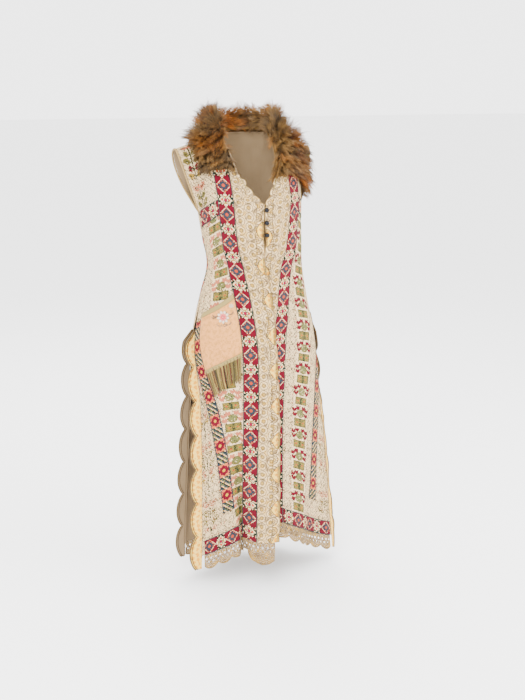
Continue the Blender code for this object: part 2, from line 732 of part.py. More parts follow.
def fringe(name, panel, look):
    """Hanging strands fused to a narrow heading over the pocket's foot."""
    first, last = TAPE_OUT + FRINGE_INSET, SKIRT_IN - FRINGE_INSET
    cells = FRINGE_STRANDS * 3 - 1
    columns, gaps = [], set()
    for strand in range(FRINGE_STRANDS):
        columns += [mix(first, last, strand * 3 / cells), mix(first, last, (strand * 3 + 2) / cells)]
    rows = [POCKET_FOOT_ROW - FRINGE_HEAD, POCKET_FOOT_ROW + FRINGE_HEAD_FOOT]
    drop = FRINGE_LENGTH / (panel.at(TAPE_OUT, 15) - panel.at(TAPE_OUT, 14)).length
    rows += [rows[1] + drop * (step + 1) / FRINGE_STEPS for step in range(FRINGE_STEPS)]
    for row in range(1, len(rows) - 1):
        gaps |= {(row, cell) for cell in range(1, 2 * FRINGE_STRANDS - 1, 2)}
    falls = [POCKET_TILT * (column - TAPE_OUT) / (SKIRT_IN - TAPE_OUT) for column in columns]
    outer = [[panel.at(column, row + fall, FRINGE_LIFT + FRINGE_WALL)
              for column, fall in zip(columns, falls)] for row in rows]
    inner = [[panel.at(column, row + fall, FRINGE_LIFT)
              for column, fall in zip(columns, falls)] for row in rows]
    return wall(name, outer, inner, look, skip=gaps)


def flower(name, panel, spot, look):
    """A low petalled boss lying on the pocket."""
    lift = POCKET_LIFT + POCKET_WALL + spot.gap
    centre = panel.at(spot.column, spot.row)
    across = (panel.at(spot.column + 0.1, spot.row) - centre).length * 10.0
    down = (panel.at(spot.column, spot.row + 0.1) - centre).length * 10.0
    count = FLOWER_PETALS * 2

    def ring(radius, height):
        points = []
        for step in range(count):
            reach = radius * (1.0 if step % 2 else FLOWER_VALLEY)
            turn = 2 * pi * step / count
            points.append(panel.at(spot.column + reach * cos(turn) / across,
                                   spot.row + reach * sin(turn) / down, height))
        return points

    rings = ring(spot.radius, lift) + ring(spot.radius, lift + FLOWER_HEIGHT * FLOWER_RIM)
    rings += ring(spot.radius * FLOWER_CROWN_WIDTH, lift + FLOWER_HEIGHT)
    vertices = rings + [panel.at(spot.column, spot.row, lift),
                        panel.at(spot.column, spot.row, lift + FLOWER_HEIGHT * FLOWER_CROWN)]
    foot, crown = 3 * count, 3 * count + 1
    faces = []
    for step in range(count):
        after = (step + 1) % count
        faces.append((foot, after, step))
        faces.append((step, after, count + after, count + step))
        faces.append((count + step, count + after, 2 * count + after, 2 * count + step))
        faces.append((2 * count + step, 2 * count + after, crown))
    return solid(name, vertices, faces, look)


def button(name, centre, look):
    shape = bmesh.new()
    bmesh.ops.create_uvsphere(shape, u_segments=12, v_segments=7, radius=BUTTON_RADIUS)
    mesh = bpy.data.meshes.new(name)
    shape.to_mesh(mesh)
    shape.free()
    mesh.shade_smooth()
    mesh.materials.append(look)
    item = bpy.data.objects.new(name, mesh)
    item.location = centre
    bpy.context.scene.collection.objects.link(item)
    return item


def main():
    for item in list(bpy.data.objects):
        bpy.data.objects.remove(item)

    patchwork = material("patchwork", (0.78, 0.70, 0.60), 0.9)
    cross_stitch = material("cross_stitch", (0.58, 0.04, 0.12), 0.85)
    lace = material("lace", (0.80, 0.70, 0.58), 0.9)
    print_cloth = material("print_cloth", (0.90, 0.72, 0.40), 0.85)
    fur = material("fur", (0.45, 0.24, 0.10), 0.95)
    brocade = material("brocade", (0.88, 0.62, 0.42), 0.6)
    gold = material("gold_braid", (0.66, 0.50, 0.22), 0.5)
    horn = material("button_gloss", (0.03, 0.035, 0.05), 0.2)

    right = Panel(lambda c, r: front_point(RIGHT, c, r), 0, SIDE, 1.0, [(SIDE, -1.0)])
    left = Panel(lambda c, r: front_point(LEFT, c, r), 0, SIDE, -1.0, [(SIDE, 1.0)])
    back = Panel(back_point, -BACK_SIDE, BACK_SIDE, 1.0, [(-BACK_SIDE, -1.0), (BACK_SIDE, 1.0)])
    panel_wall("front_right", right, patchwork)
    panel_wall("front_left", left, patchwork)
    panel_wall("back", back, patchwork)

    for hand, panel in (("right", right), ("left", left)):
        edge_lace("edge_lace_" + hand, panel, LACE_START, lace)
        edge_print("edge_print_" + hand, panel, ARM_ROW - 1, print_cloth)
        tape_columns = (TAPE_IN, TAPE_IN + 1, TAPE_OUT)
        patch("tape_front_" + hand, panel, tape_columns, range(HEM_ROW + 1), TAPE_LIFT, TAPE_WALL,
              cross_stitch)
        patch("tape_bust_" + hand, panel, [TAPE_OUT + TAPE_JOIN, *range(TAPE_OUT + 1, SIDE + 1)],
              (ARM_ROW, BUST_ROW), TAPE_LIFT, TAPE_WALL, cross_stitch)
        patch("tape_skirt_" + hand, panel, (SKIRT_IN, SKIRT_OUT), range(SLIT_ROW, HEM_TAPE_ROW),
              TAPE_LIFT, TAPE_WALL, cross_stitch)
        patch("tape_hem_" + hand, panel, [TAPE_OUT + TAPE_JOIN, *range(TAPE_OUT + 1, SIDE), SIDE - HEM_TAPE_END],
              (HEM_TAPE_ROW, HEM_ROW), HEM_TAPE_LIFT, TAPE_WALL, cross_stitch)
        side_border("side_border_front_" + hand, panel, SIDE, -1, print_cloth)
        hem_lace("hem_lace_" + hand, panel, 0.0, SIDE - LACE_END, lace,
                 TAPE_OUT if hand == "right" else None)
    collar("fur_collar", right, left, back, fur)
    binding("armhole_binding_right", right, back, -BACK_SIDE, gold)
    binding("armhole_binding_left", left, back, BACK_SIDE, gold)

    pocket_columns = (TAPE_OUT + TAPE_JOIN, TAPE_OUT + 1, TAPE_OUT + 2, TAPE_OUT + 3,
                      SKIRT_IN - TAPE_JOIN)
    pocket_steps = (POCKET_FOOT_ROW - POCKET_TOP_ROW) * POCKET_STEPS
    pocket_rows = [POCKET_TOP_ROW + step / POCKET_STEPS for step in range(pocket_steps + 1)]
    patch("pocket", right, pocket_columns, pocket_rows, POCKET_LIFT, POCKET_WALL, brocade, POCKET_TILT)
    half_trim = TRIM_HEIGHT / 2 / (right.at(TAPE_OUT, 12) - right.at(TAPE_OUT, 11)).length
    patch("pocket_trim", right, pocket_columns,
          (POCKET_TOP_ROW - half_trim, POCKET_TOP_ROW, POCKET_TOP_ROW + half_trim),
          POCKET_LIFT + POCKET_WALL + SEAM_GAP, TAPE_WALL, gold, POCKET_TILT)
    fringe("pocket_fringe", right, gold)
    for number, spot in enumerate(FLOWERS, start=1):
        flower(f"pocket_flower_{number}", right, spot, lace)

    for number, height in enumerate(BUTTON_HEIGHTS, start=1):
        rows, _ = left.lengths(0, 0, HEM_ROW)
        row = min(rows, key=lambda candidate: abs(left.at(0, candidate).z - height))
        lift = LACE_LIFT + LACE_WALL + SEAM_GAP + BUTTON_RADIUS
        button(f"button_{number}", left.beyond(0, row, 0.5, -BUTTON_OUT, lift), horn)

    side_border("side_border_back_right", back, -BACK_SIDE, 1, print_cloth)
    side_border("side_border_back_left", back, BACK_SIDE, -1, print_cloth)
    hem_lace("hem_lace_back", back, BACK_LACE_END - BACK_SIDE, BACK_SIDE - BACK_LACE_END, lace)


main()
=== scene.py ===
import math
from collections import namedtuple

import bmesh
import bpy
import numpy as np
from mathutils import Matrix, Vector, noise


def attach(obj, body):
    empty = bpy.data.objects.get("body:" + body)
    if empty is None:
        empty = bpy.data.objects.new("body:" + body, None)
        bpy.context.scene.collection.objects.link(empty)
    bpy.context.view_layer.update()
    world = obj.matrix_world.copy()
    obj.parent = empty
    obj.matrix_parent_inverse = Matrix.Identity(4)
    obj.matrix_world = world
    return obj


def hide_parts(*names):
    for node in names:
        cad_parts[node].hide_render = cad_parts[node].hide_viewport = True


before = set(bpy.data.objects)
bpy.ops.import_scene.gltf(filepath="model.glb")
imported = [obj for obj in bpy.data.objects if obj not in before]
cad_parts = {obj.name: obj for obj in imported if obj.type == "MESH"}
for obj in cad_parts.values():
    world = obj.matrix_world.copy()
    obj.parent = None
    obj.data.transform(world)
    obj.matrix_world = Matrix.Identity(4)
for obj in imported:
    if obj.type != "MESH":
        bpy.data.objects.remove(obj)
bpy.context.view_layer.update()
pi = math.pi

# The worn form: round sections of the vest, in metres, with the free edge of each front
Section = namedtuple("Section", "height half front back lean square open edgeRight edgeLeft")
sections = (
    Section(-0.18, 0.153, 0.120, 0.105, 0.015, 2.2, 0.000, 0.009, 0.025),
    Section(-0.30, 0.145, 0.120, 0.098, 0.026, 2.2, 0.000, 0.009, 0.025),
    Section(-0.37, 0.141, 0.117, 0.095, 0.033, 2.1, 0.000, 0.013, 0.023),
    Section(-0.46, 0.160, 0.120, 0.105, 0.030, 2.0, 0.000, 0.030, 0.012),
    Section(-0.58, 0.186, 0.130, 0.118, 0.032, 1.9, 0.003, 0.038, -0.008),
    Section(-0.75, 0.194, 0.142, 0.132, 0.040, 1.7, 0.010, 0.040, -0.012),
    Section(-0.95, 0.205, 0.152, 0.146, 0.048, 1.5, 0.018, 0.038, -0.010),
    Section(-1.30, 0.214, 0.165, 0.164, 0.055, 1.4, 0.026, 0.030, -0.004),
)
Cut = namedtuple("Cut", "height borderRight borderLeft skirtTape gore overhang")
cuts = (
    Cut(-0.18, 0.078, 0.080, 0.018, 0.024, 0.000),
    Cut(-0.30, 0.066, 0.064, 0.018, 0.020, 0.000),
    Cut(-0.37, 0.052, 0.050, 0.020, 0.014, 0.000),
    Cut(-0.45, 0.052, 0.051, 0.024, 0.010, 0.000),
    Cut(-0.53, 0.047, 0.053, 0.024, 0.002, 0.004),
    Cut(-0.60, 0.044, 0.052, 0.027, 0.002, 0.008),
    Cut(-0.68, 0.045, 0.048, 0.033, 0.008, 0.014),
    Cut(-0.78, 0.047, 0.041, 0.036, 0.030, 0.020),
    Cut(-0.95, 0.050, 0.032, 0.036, 0.056, 0.022),
    Cut(-1.30, 0.048, 0.022, 0.036, 0.090, 0.022),
)
Level = namedtuple("Level", "column underarm footRight footLeft")
levels = (
    Level(0, -0.190, -1.170, -1.115),
    Level(2, -0.180, -1.170, -1.118),
    Level(4, -0.175, -1.168, -1.122),
    Level(8, -0.200, -1.172, -1.182),
    Level(11, -0.222, -1.235, -1.235),
)
Fold = namedtuple("Fold", "column reach depth start")
foldsRight = (Fold(0.8, 3.6, 0.030, -0.50), Fold(5.0, 2.6, -0.024, -0.50),
              Fold(8.6, 2.6, 0.012, -0.70), Fold(11, 1.8, 0.016, -0.62))
foldsLeft = (Fold(5.0, 3.0, 0.014, -0.60), Fold(8.4, 2.0, -0.012, -0.72), Fold(11, 1.8, 0.016, -0.62))
foldsBack = (Fold(-7.6, 1.6, 0.012, -0.60), Fold(-5.0, 1.8, -0.016, -0.55),
             Fold(-2.3, 1.9, 0.018, -0.50), Fold(0.3, 1.7, -0.020, -0.42),
             Fold(2.9, 1.8, 0.017, -0.52), Fold(5.4, 1.7, -0.014, -0.58), Fold(7.6, 1.6, 0.012, -0.60))
cut = dict(
    armRow=6, bustRow=7, slitRow=12, hemTape=23, hem=24, band=0.045, wall=0.0020, middle=0.035,
    tapeIn=2, tapeOut=4, skirtIn=8, skirtOut=9, side=11, backSide=8, backNeck=3, tapeWidth=0.045,
    neckHalf=0.070, tipHalf=0.197, tipDrop=0.040, neckBack=0.050, roll=1.25, neckScoop=2.8, armScoop=1.2,
    armForward=0.024, armBackward=0.052, backUnderarm=-0.215, backFoot=-1.245, backSpread=0.8,
    underlap=0.009, underlapStart=-0.30, underlapFull=-0.41, foldFoot=-1.20, seam=0.0003,
    creaseHeight=0.0022, creaseAcross=26.0, creaseDown=7.0, fineAcross=61.0, fineDown=23.0)
armRow, slitRow, hemRow = cut["armRow"], cut["slitRow"], cut["hem"]
side, backSide, band = cut["side"], cut["backSide"], cut["band"]


def smooth(share):
    share = min(max(share, 0.0), 1.0)
    return share * share * (3.0 - 2.0 * share)


def mix(first, second, share):
    return first + (second - first) * share


def along(stops, values, at):
    if at <= stops[0]:
        return values[0]
    for low, high, first, second in zip(stops, stops[1:], values, values[1:]):
        if at <= high:
            return mix(first, second, (at - low) / (high - low))
    return values[-1]


# Smooth reading of one column of a table whose heights fall from row to row
def read(table, height, field):
    heights = [row.height for row in table]
    values = [getattr(row, field) for row in table]
    if height >= heights[0]:
        return values[0]
    if height <= heights[-1]:
        return values[-1]
    row = min(max(i for i, level in enumerate(heights) if level >= height), len(heights) - 2)
    slopes = []
    for index in (row, row + 1):
        before, after = max(index - 1, 0), min(index + 1, len(heights) - 1)
        slopes.append((values[after] - values[before]) / (heights[after] - heights[before]))
    span = heights[row + 1] - heights[row]
    share = (height - heights[row]) / span
    square, cube = share ** 2, share ** 3
    value = (values[row] * (2 * cube - 3 * square + 1) + slopes[0] * span * (cube - 2 * square + share)
             + values[row + 1] * (3 * square - 2 * cube) + slopes[1] * span * (cube - square))
    lowest, highest = sorted((values[row], values[row + 1]))
    return min(max(value, lowest), highest)


sectionCache = {}


# All that one height of the form needs, read once for each half millimetre of height
def sectionAt(height, hand):
    key = (round(height * 2000), hand)
    if key in sectionCache:
        return sectionCache[key]
    field = {-1: "Right", 1: "Left", 0: ""}[hand]
    slit = read(sections, height, "open")
    half, lean = read(sections, height, "half"), read(sections, height, "lean")
    square = read(sections, height, "square")
    if hand:
        start = (read(sections, height, "edge" + field) - lean) * hand
        depth = read(sections, height, "front") - slit
    else:
        start = 0.0
        depth = read(sections, height, "back") - slit
        half += slit * cut["backSpread"]
    power = 2.0 / square
    first = math.copysign(math.asin(min(abs(start / half), 1.0) ** (1.0 / power)), start)
    angles = np.linspace(first, pi / 2, 91)
    across = np.sign(angles) * half * np.abs(np.sin(angles)) ** power
    deep = depth * np.abs(np.cos(angles)) ** power
    walked = np.concatenate([[0.0], np.cumsum(np.hypot(np.diff(across), np.diff(deep)))])
    reach = walked[-1] - read(cuts, height, "overhang")
    if hand:
        border = read(cuts, height, "border" + field)
        skirt, gore = read(cuts, height, "skirtTape"), read(cuts, height, "gore")
        knots = (0.0, border, border + cut["tapeWidth"], reach - gore - skirt, reach - gore, reach)
    else:
        knots = (0.0, reach)
    sectionCache[key] = (across, deep, walked, knots, lean, slit)
    return sectionCache[key]


def onRing(across, deep, walked, distance):
    index = int(min(max(np.searchsorted(walked, distance, side="right") - 1, 0), len(walked) - 2))
    share = (distance - walked[index]) / (walked[index + 1] - walked[index])
    x, y = mix(across[index], across[index + 1], share), mix(deep[index], deep[index + 1], share)
    low, high = max(index - 2, 0), min(index + 3, len(walked) - 1)
    out = Vector((deep[low] - deep[high], across[high] - across[low])).normalized()
    return Vector((x, y)), out


def foldDepth(folds, column, height):
    total = 0.0
    for fold in folds:
        away = abs(column - fold.column) / fold.reach
        if away < 1.0 and height < fold.start:
            growth = (fold.start - height) / (fold.start - cut["foldFoot"])
            total += fold.depth * math.cos(away * pi / 2) ** 2 * smooth(growth * 0.5) * 2.0
    return total


def frontAt(hand, column, height):
    across, deep, walked, knots, lean, slit = sectionAt(height, hand)
    stops = (0, cut["tapeIn"], cut["tapeOut"], cut["skirtIn"], cut["skirtOut"], side)
    point, out = onRing(across, deep, walked, along(stops, knots, column))
    shift = foldDepth(foldsRight if hand < 0 else foldsLeft, column, height)
    if hand > 0:
        under = smooth((height - cut["underlapStart"]) / (cut["underlapFull"] - cut["underlapStart"]))
        shift -= cut["underlap"] * under * (1.0 - smooth((column - cut["tapeOut"]) / 4.0))
    point += out * shift
    return Vector((lean + hand * point.x, -slit - cut["seam"] / 2 - point.y, height))


def backAt(column, height):
    hand = -1.0 if column < 0 else 1.0
    across, deep, walked, knots, lean, slit = sectionAt(height, 0)
    point, out = onRing(across, deep, walked, knots[1] * abs(column) / backSide)
    point += out * foldDepth(foldsBack, column, height)
    return Vector((lean + hand * point.x, slit + cut["seam"] / 2 + point.y, height))


def rowHeight(underarm, foot, row):
    if row <= cut["bustRow"]:
        return underarm - band * (row - armRow)
    if row <= cut["hemTape"]:
        share = (row - cut["bustRow"]) / (cut["hemTape"] - cut["bustRow"])
        return mix(underarm - band, foot + band, share)
    return foot + band - band * (row - cut["hemTape"])


def shoulderPoint(halfWidth, face):
    drop = cut["tipDrop"] * (abs(halfWidth) - cut["neckHalf"]) / (cut["tipHalf"] - cut["neckHalf"])
    return Vector((halfWidth, face * cut["seam"] / 2, -drop))


def yoke(top, under, row, pull, scoop, bow):
    angle = row / armRow * pi / 2
    fall = 1.0 - max(math.cos(angle), 0.0) ** cut["roll"]
    point = Vector((mix(top.x, under.x, mix(row / armRow, fall ** scoop, pull)),
                    mix(top.y, under.y, math.sin(angle) ** cut["roll"]), mix(top.z, under.z, fall)))
    return point + bow * math.sin(row / armRow * pi)


def frontPoint(hand, column, row):
    stops = [level.column for level in levels]
    underarm = along(stops, [level.underarm for level in levels], column)
    feet = [level.footRight if hand < 0 else level.footLeft for level in levels]
    foot = along(stops, feet, column)
    if row >= armRow:
        return frontAt(hand, column, rowHeight(underarm, foot, row))
    width = along((0, 2, 4, side), (cut["neckHalf"], 0.086, 0.128, cut["tipHalf"]), column)
    outer = max(column - 4, 0) / (side - 4)
    bow = Vector((0.0, -cut["armForward"], 0.0)) * outer ** 2
    pull = max(1.0 - column / 2, outer, 0.0)
    scoop = cut["neckScoop"] if column < 2 else cut["armScoop"]
    return yoke(shoulderPoint(hand * width, -1), frontAt(hand, column, underarm), row, pull, scoop, bow)


def backPoint(column, row):
    turned = smooth(abs(column) / backSide)
    if row >= armRow:
        underarm = mix(cut["backUnderarm"], levels[-1].underarm, turned)
        foot = mix(cut["backFoot"], levels[-1].footRight, turned)
        return backAt(column, rowHeight(underarm, foot, row))
    hand = -1.0 if column < 0 else 1.0
    neck = cut["backNeck"]
    if abs(column) < neck:
        turn = abs(column) / neck * pi / 2
        deep = cut["neckBack"] * math.cos(turn) + cut["seam"] / 2
        top = Vector((hand * cut["neckHalf"] * math.sin(turn), deep, 0.0))
    else:
        share = (abs(column) - neck) / (backSide - neck)
        top = shoulderPoint(hand * mix(cut["neckHalf"], cut["tipHalf"], share), 1)
    outer = max(abs(column) - neck, 0) / (backSide - neck)
    bow = Vector((0.0, cut["armBackward"], 0.0)) * outer ** 2
    return yoke(top, backPoint(column, armRow), row, outer, cut["armScoop"], bow)


# The cloth of one panel, measured on a fine net so that everything sewn on it follows its folds
class Cloth:
    def __init__(self, place, first, last, outward, seamColumns, hand=1, fine=8):
        self.first, self.last, self.fine, self.hand = first, last, fine, hand
        columns = np.linspace(first, last, (last - first) * fine + 1)
        rows = np.linspace(0, hemRow, hemRow * fine + 1)
        net = np.array([[place(float(c), float(r)) for c in columns] for r in rows])
        flat = self.directions(net, outward, columns, seamColumns)
        for r, row in enumerate(rows):
            for c, column in enumerate(columns):
                x, y, z = net[r, c]
                wide, tall = cut["creaseAcross"], cut["creaseDown"]
                wave = noise.noise(Vector((x * wide, y * wide, z * tall)))
                wide, tall = cut["fineAcross"], cut["fineDown"]
                wave += 0.5 * noise.noise(Vector((x * wide, y * wide, z * tall + 9.0)))
                ends = smooth(min(row, 2.0) / 2.0)
                for seam in seamColumns:
                    if row < slitRow + 1:
                        ends *= smooth(abs(column - seam) / 1.5 + max(row - slitRow, 0.0))
                net[r, c] += flat[r, c] * wave * cut["creaseHeight"] * ends
        self.net, self.out = net, self.directions(net, outward, columns, seamColumns)

    def directions(self, net, outward, columns, seamColumns):
        across, down = np.gradient(net, axis=1), np.gradient(net, axis=0)
        out = np.cross(across, down) * outward
        out /= np.linalg.norm(out, axis=2, keepdims=True) + 1e-12
        for c, column in enumerate(columns):
            if self.first == 0 or abs(column) >= cut["backNeck"]:
                out[0, c, 1] = 0.0
            for seam in seamColumns:
                near = 1.0 - smooth(abs(column - seam) / 0.5)
                if near > 0.0:
                    rows = slice(armRow * self.fine, slitRow * self.fine + 1)
                    straight = np.array([math.copysign(1.0, seam if self.first else seam * self.hand), 0, 0])
                    out[rows, c] = out[rows, c] * (1 - near) + straight * near
        return out / (np.linalg.norm(out, axis=2, keepdims=True) + 1e-12)

    # A point of the cloth moved out by lift; past a free edge it runs on straight
    def at(self, column, row, lift=0.0):
        if column < self.first:
            return self.at(self.first, row, lift) * 2.0 - self.at(2.0 * self.first - column, row, lift)
        if row < 0.0:
            return self.at(column, 0.0, lift) * 2.0 - self.at(column, -row, lift)
        c = min(max((column - self.first) * self.fine, 0.0), self.net.shape[1] - 1.000001)
        r = min(max(row * self.fine, 0.0), self.net.shape[0] - 1.000001)
        left, top = int(c), int(r)
        u, v = c - left, r - top
        shares = ((top, left, (1 - u) * (1 - v)), (top, left + 1, u * (1 - v)),
                  (top + 1, left, (1 - u) * v), (top + 1, left + 1, u * v))
        point, out = np.zeros(3), np.zeros(3)
        for i, j, share in shares:
            point += self.net[i, j] * share
            out += self.out[i, j] * share
        return Vector(point) + Vector(out).normalized() * lift

    def outward(self, column, row):
        return (self.at(column, row, 0.01) - self.at(column, row)).normalized()

    # A point at a distance from a column line, towards the sign of toward
    def beyond(self, column, row, toward, distance, lift=0.0):
        held = min(row, hemRow)
        inner = self.at(column + toward, held, lift) - self.at(column, held, lift)
        return self.down(column, row, lift) + inner.normalized() * distance

    # The cloth's own line run on below its foot
    def down(self, column, row, lift=0.0):
        if row <= hemRow:
            return self.at(column, row, lift)
        return self.below(column, (row - hemRow) * band, lift)

    def below(self, column, distance, lift=0.0):
        foot = self.at(column, hemRow, lift)
        return foot + (foot - self.at(column, hemRow - 0.4, lift)).normalized() * distance

    def lengthDown(self, column, rows):
        points = [self.at(column, row) for row in rows]
        steps = [(b - a).length for a, b in zip(points, points[1:])]
        return np.concatenate([[0.0], np.cumsum(steps)])

    # Rows at even lengths down a column line
    def rowsAlong(self, column, first, last, spacing):
        fine = np.linspace(first, min(last, hemRow), 400)
        walked = self.lengthDown(column, fine)
        total = walked[-1] + max(last - hemRow, 0.0) * band
        count = max(int(round(total / spacing)), 1)
        found = []
        for step in range(count + 1):
            length = total * step / count
            if length <= walked[-1]:
                found.append(float(np.interp(length, walked, fine)))
            else:
                found.append(hemRow + (length - walked[-1]) / band)
        return found, [total * step / count for step in range(count + 1)]


print("measuring the cloth")
rightCloth = Cloth(lambda c, r: frontPoint(-1, c, r), 0, side, 1.0, (side,), hand=-1)
leftCloth = Cloth(lambda c, r: frontPoint(1, c, r), 0, side, -1.0, (side,))
backCloth = Cloth(backPoint, -backSide, backSide, 1.0, (-backSide, backSide))


# Shader sums: a value wraps a socket, and each operator adds its Math node
class Value:
    def __init__(self, look, socket):
        self.look, self.socket = look, socket

    def do(self, operation, *terms):
        return self.look.node("ShaderNodeMath", dict(operation=operation), dict(enumerate(terms)))

    def __add__(self, other):
        return self.do("ADD", self, other)

    def __radd__(self, other):
        return self.do("ADD", other, self)

    def __sub__(self, other):
        return self.do("SUBTRACT", self, other)

    def __rsub__(self, other):
        return self.do("SUBTRACT", other, self)

    def __mul__(self, other):
        return self.do("MULTIPLY", self, other)

    def __rmul__(self, other):
        return self.do("MULTIPLY", other, self)

    def __truediv__(self, other):
        return self.do("DIVIDE", self, other)

    def __mod__(self, other):
        return self.do("FLOORED_MODULO", self, other)

    def __pow__(self, other):
        return self.do("POWER", self, other)

    def __neg__(self):
        return self.do("MULTIPLY", self, -1.0)

    def __abs__(self):
        return self.do("ABSOLUTE", self)

    def __lt__(self, other):
        return self.do("LESS_THAN", self, other)

    def __gt__(self, other):
        return self.do("GREATER_THAN", self, other)

    def least(self, other):
        return self.do("MINIMUM", self, other)

    def most(self, other):
        return self.do("MAXIMUM", self, other)

    def floor(self):
        return self.do("FLOOR", self)

    def sine(self):
        return self.do("SINE", self)

    def root(self):
        return self.do("SQRT", self)

    def angleFrom(self, other):
        return self.do("ARCTAN2", self, other)


class Look:
    def __init__(self, name, roughness=0.85, metallic=0.0, sheen=0.0, gloss=0.12):
        self.material = bpy.data.materials.new(name)
        self.material.use_nodes = True
        self.tree = self.material.node_tree
        self.shader = self.tree.nodes["Principled BSDF"]
        self.set("Roughness", roughness)
        self.set("Metallic", metallic)
        self.shader.inputs["Sheen Weight"].default_value = sheen
        self.shader.inputs["Sheen Roughness"].default_value = 0.5
        self.shader.inputs["Specular IOR Level"].default_value = gloss

    # Settings first, then the values or links of the sockets
    def node(self, kind, settings=None, inputs=None, output=0):
        made = self.tree.nodes.new(kind)
        for key, value in (settings or {}).items():
            if key == "stops":
                ramp = made.color_ramp
                while len(ramp.elements) < len(value):
                    ramp.elements.new(0.5)
                for element, (place, color) in zip(ramp.elements, value):
                    element.position, element.color = place, (*color, 1.0)
            elif key == "interpolation":
                made.color_ramp.interpolation = value
            else:
                setattr(made, key, value)
        for key, value in (inputs or {}).items():
            self.feed(made.inputs[key], value)
        return Value(self, made.outputs[output])

    def feed(self, socket, value):
        if isinstance(value, Value):
            self.tree.links.new(value.socket, socket)
        elif socket.type == "RGBA" and len(value) == 3:
            socket.default_value = (*value, 1.0)
        else:
            socket.default_value = value

    def set(self, name, value):
        self.feed(self.shader.inputs[name], value)

    def color(self, first, second, share, blend="MIX"):
        settings = dict(data_type="RGBA", blend_type=blend)
        return self.node("ShaderNodeMix", settings, {0: share, 6: first, 7: second}, 2)

    def uv(self, name="cloth"):
        vector = self.node("ShaderNodeUVMap", dict(uv_map=name))
        return [self.node("ShaderNodeSeparateXYZ", None, {0: vector}, axis) for axis in (0, 1)]

    def place(self, x, y, z=0.0):
        return self.node("ShaderNodeCombineXYZ", None, {0: x, 1: y, 2: z})

    def objectPlace(self, scale=(1.0, 1.0, 1.0)):
        spot = self.node("ShaderNodeTexCoord", None, None, 3)
        return self.node("ShaderNodeMapping", None, {"Vector": spot, "Scale": scale})

    def grain(self, vector, scale, detail=2.0, roughness=0.5):
        return self.node("ShaderNodeTexNoise", None,
                         {"Vector": vector, "Scale": scale, "Detail": detail, "Roughness": roughness})

    def chance(self, vector):
        return self.node("ShaderNodeTexWhiteNoise", dict(noise_dimensions="2D"), {"Vector": vector})

    def bump(self, height, distance, strength=1.0):
        self.set("Normal", self.node("ShaderNodeBump", None,
                                     {"Height": height, "Distance": distance, "Strength": strength}))


palette = dict(
    cream=(0.82, 0.60, 0.33), ecru=(0.62, 0.43, 0.21), tan=(0.160, 0.094, 0.040),
    crimson=(0.118, 0.0014, 0.011), salmon=(0.56, 0.135, 0.045), coral=(0.46, 0.045, 0.012),
    blue=(0.018, 0.028, 0.040), slate=(0.032, 0.046, 0.050), dark=(0.006, 0.009, 0.007),
    green=(0.018, 0.030, 0.014), olive=(0.145, 0.112, 0.024), gold=(0.32, 0.185, 0.024),
    pink=(0.46, 0.135, 0.070), rose=(0.23, 0.005, 0.036), sage=(0.145, 0.150, 0.044),
    yellow=(0.54, 0.29, 0.020), print=(0.64, 0.405, 0.065), printPale=(0.72, 0.47, 0.10),
    orange=(0.56, 0.205, 0.010), lining=(0.19, 0.128, 0.068), liningPale=(0.26, 0.18, 0.10),
    lace=(0.50, 0.325, 0.125), laceDark=(0.036, 0.019, 0.007), peach=(0.52, 0.200, 0.042),
    peachPale=(0.62, 0.29, 0.080))
stitch = 0.00225


# Cross-stitches: motif(look, x, y) colours the middle of each stitch, with x and y in stitches
def stitched(name, motif, pitch=stitch):
    look = Look(name, 0.86, 0.0, 0.03, 0.06)
    u, v = look.uv()
    x, y = (u / pitch).floor() + 0.5, (v / pitch).floor() + 0.5
    chance = look.chance(look.place(x, y))
    color = motif(look, x, y, chance)
    fx, fy = abs((u / pitch) % 1.0 - 0.5), abs((v / pitch) % 1.0 - 0.5)
    arm = 1.0 - (abs(fx - fy) * 3.2).least(1.0)
    edge = (fx.most(fy) * 2.0) ** 6.0
    relief = arm * (1.0 - edge * 0.7)
    wear = look.grain(look.objectPlace(), 9.0, 3.0)
    # Painted shade and highlight: the raised arms of each stitch are painted lighter and the gaps at the cell
    # edges darker, as light would fall on them; chance and wear add random thread tone.
    shade = (0.74 + relief * 0.26 + chance * 0.16 - edge * 0.14) * (0.88 + wear * 0.24)
    look.set("Base Color", look.color(color, look.place(shade, shade, shade), 1.0, "MULTIPLY"))
    look.bump(relief, 0.0010, 0.8)
    return look.material


def petals(x, y, count, radius, depth):
    turn = y.angleFrom(x) * count
    return (x * x + y * y).root() - radius * (1.0 - depth) - turn.do("COSINE", turn) * radius * depth


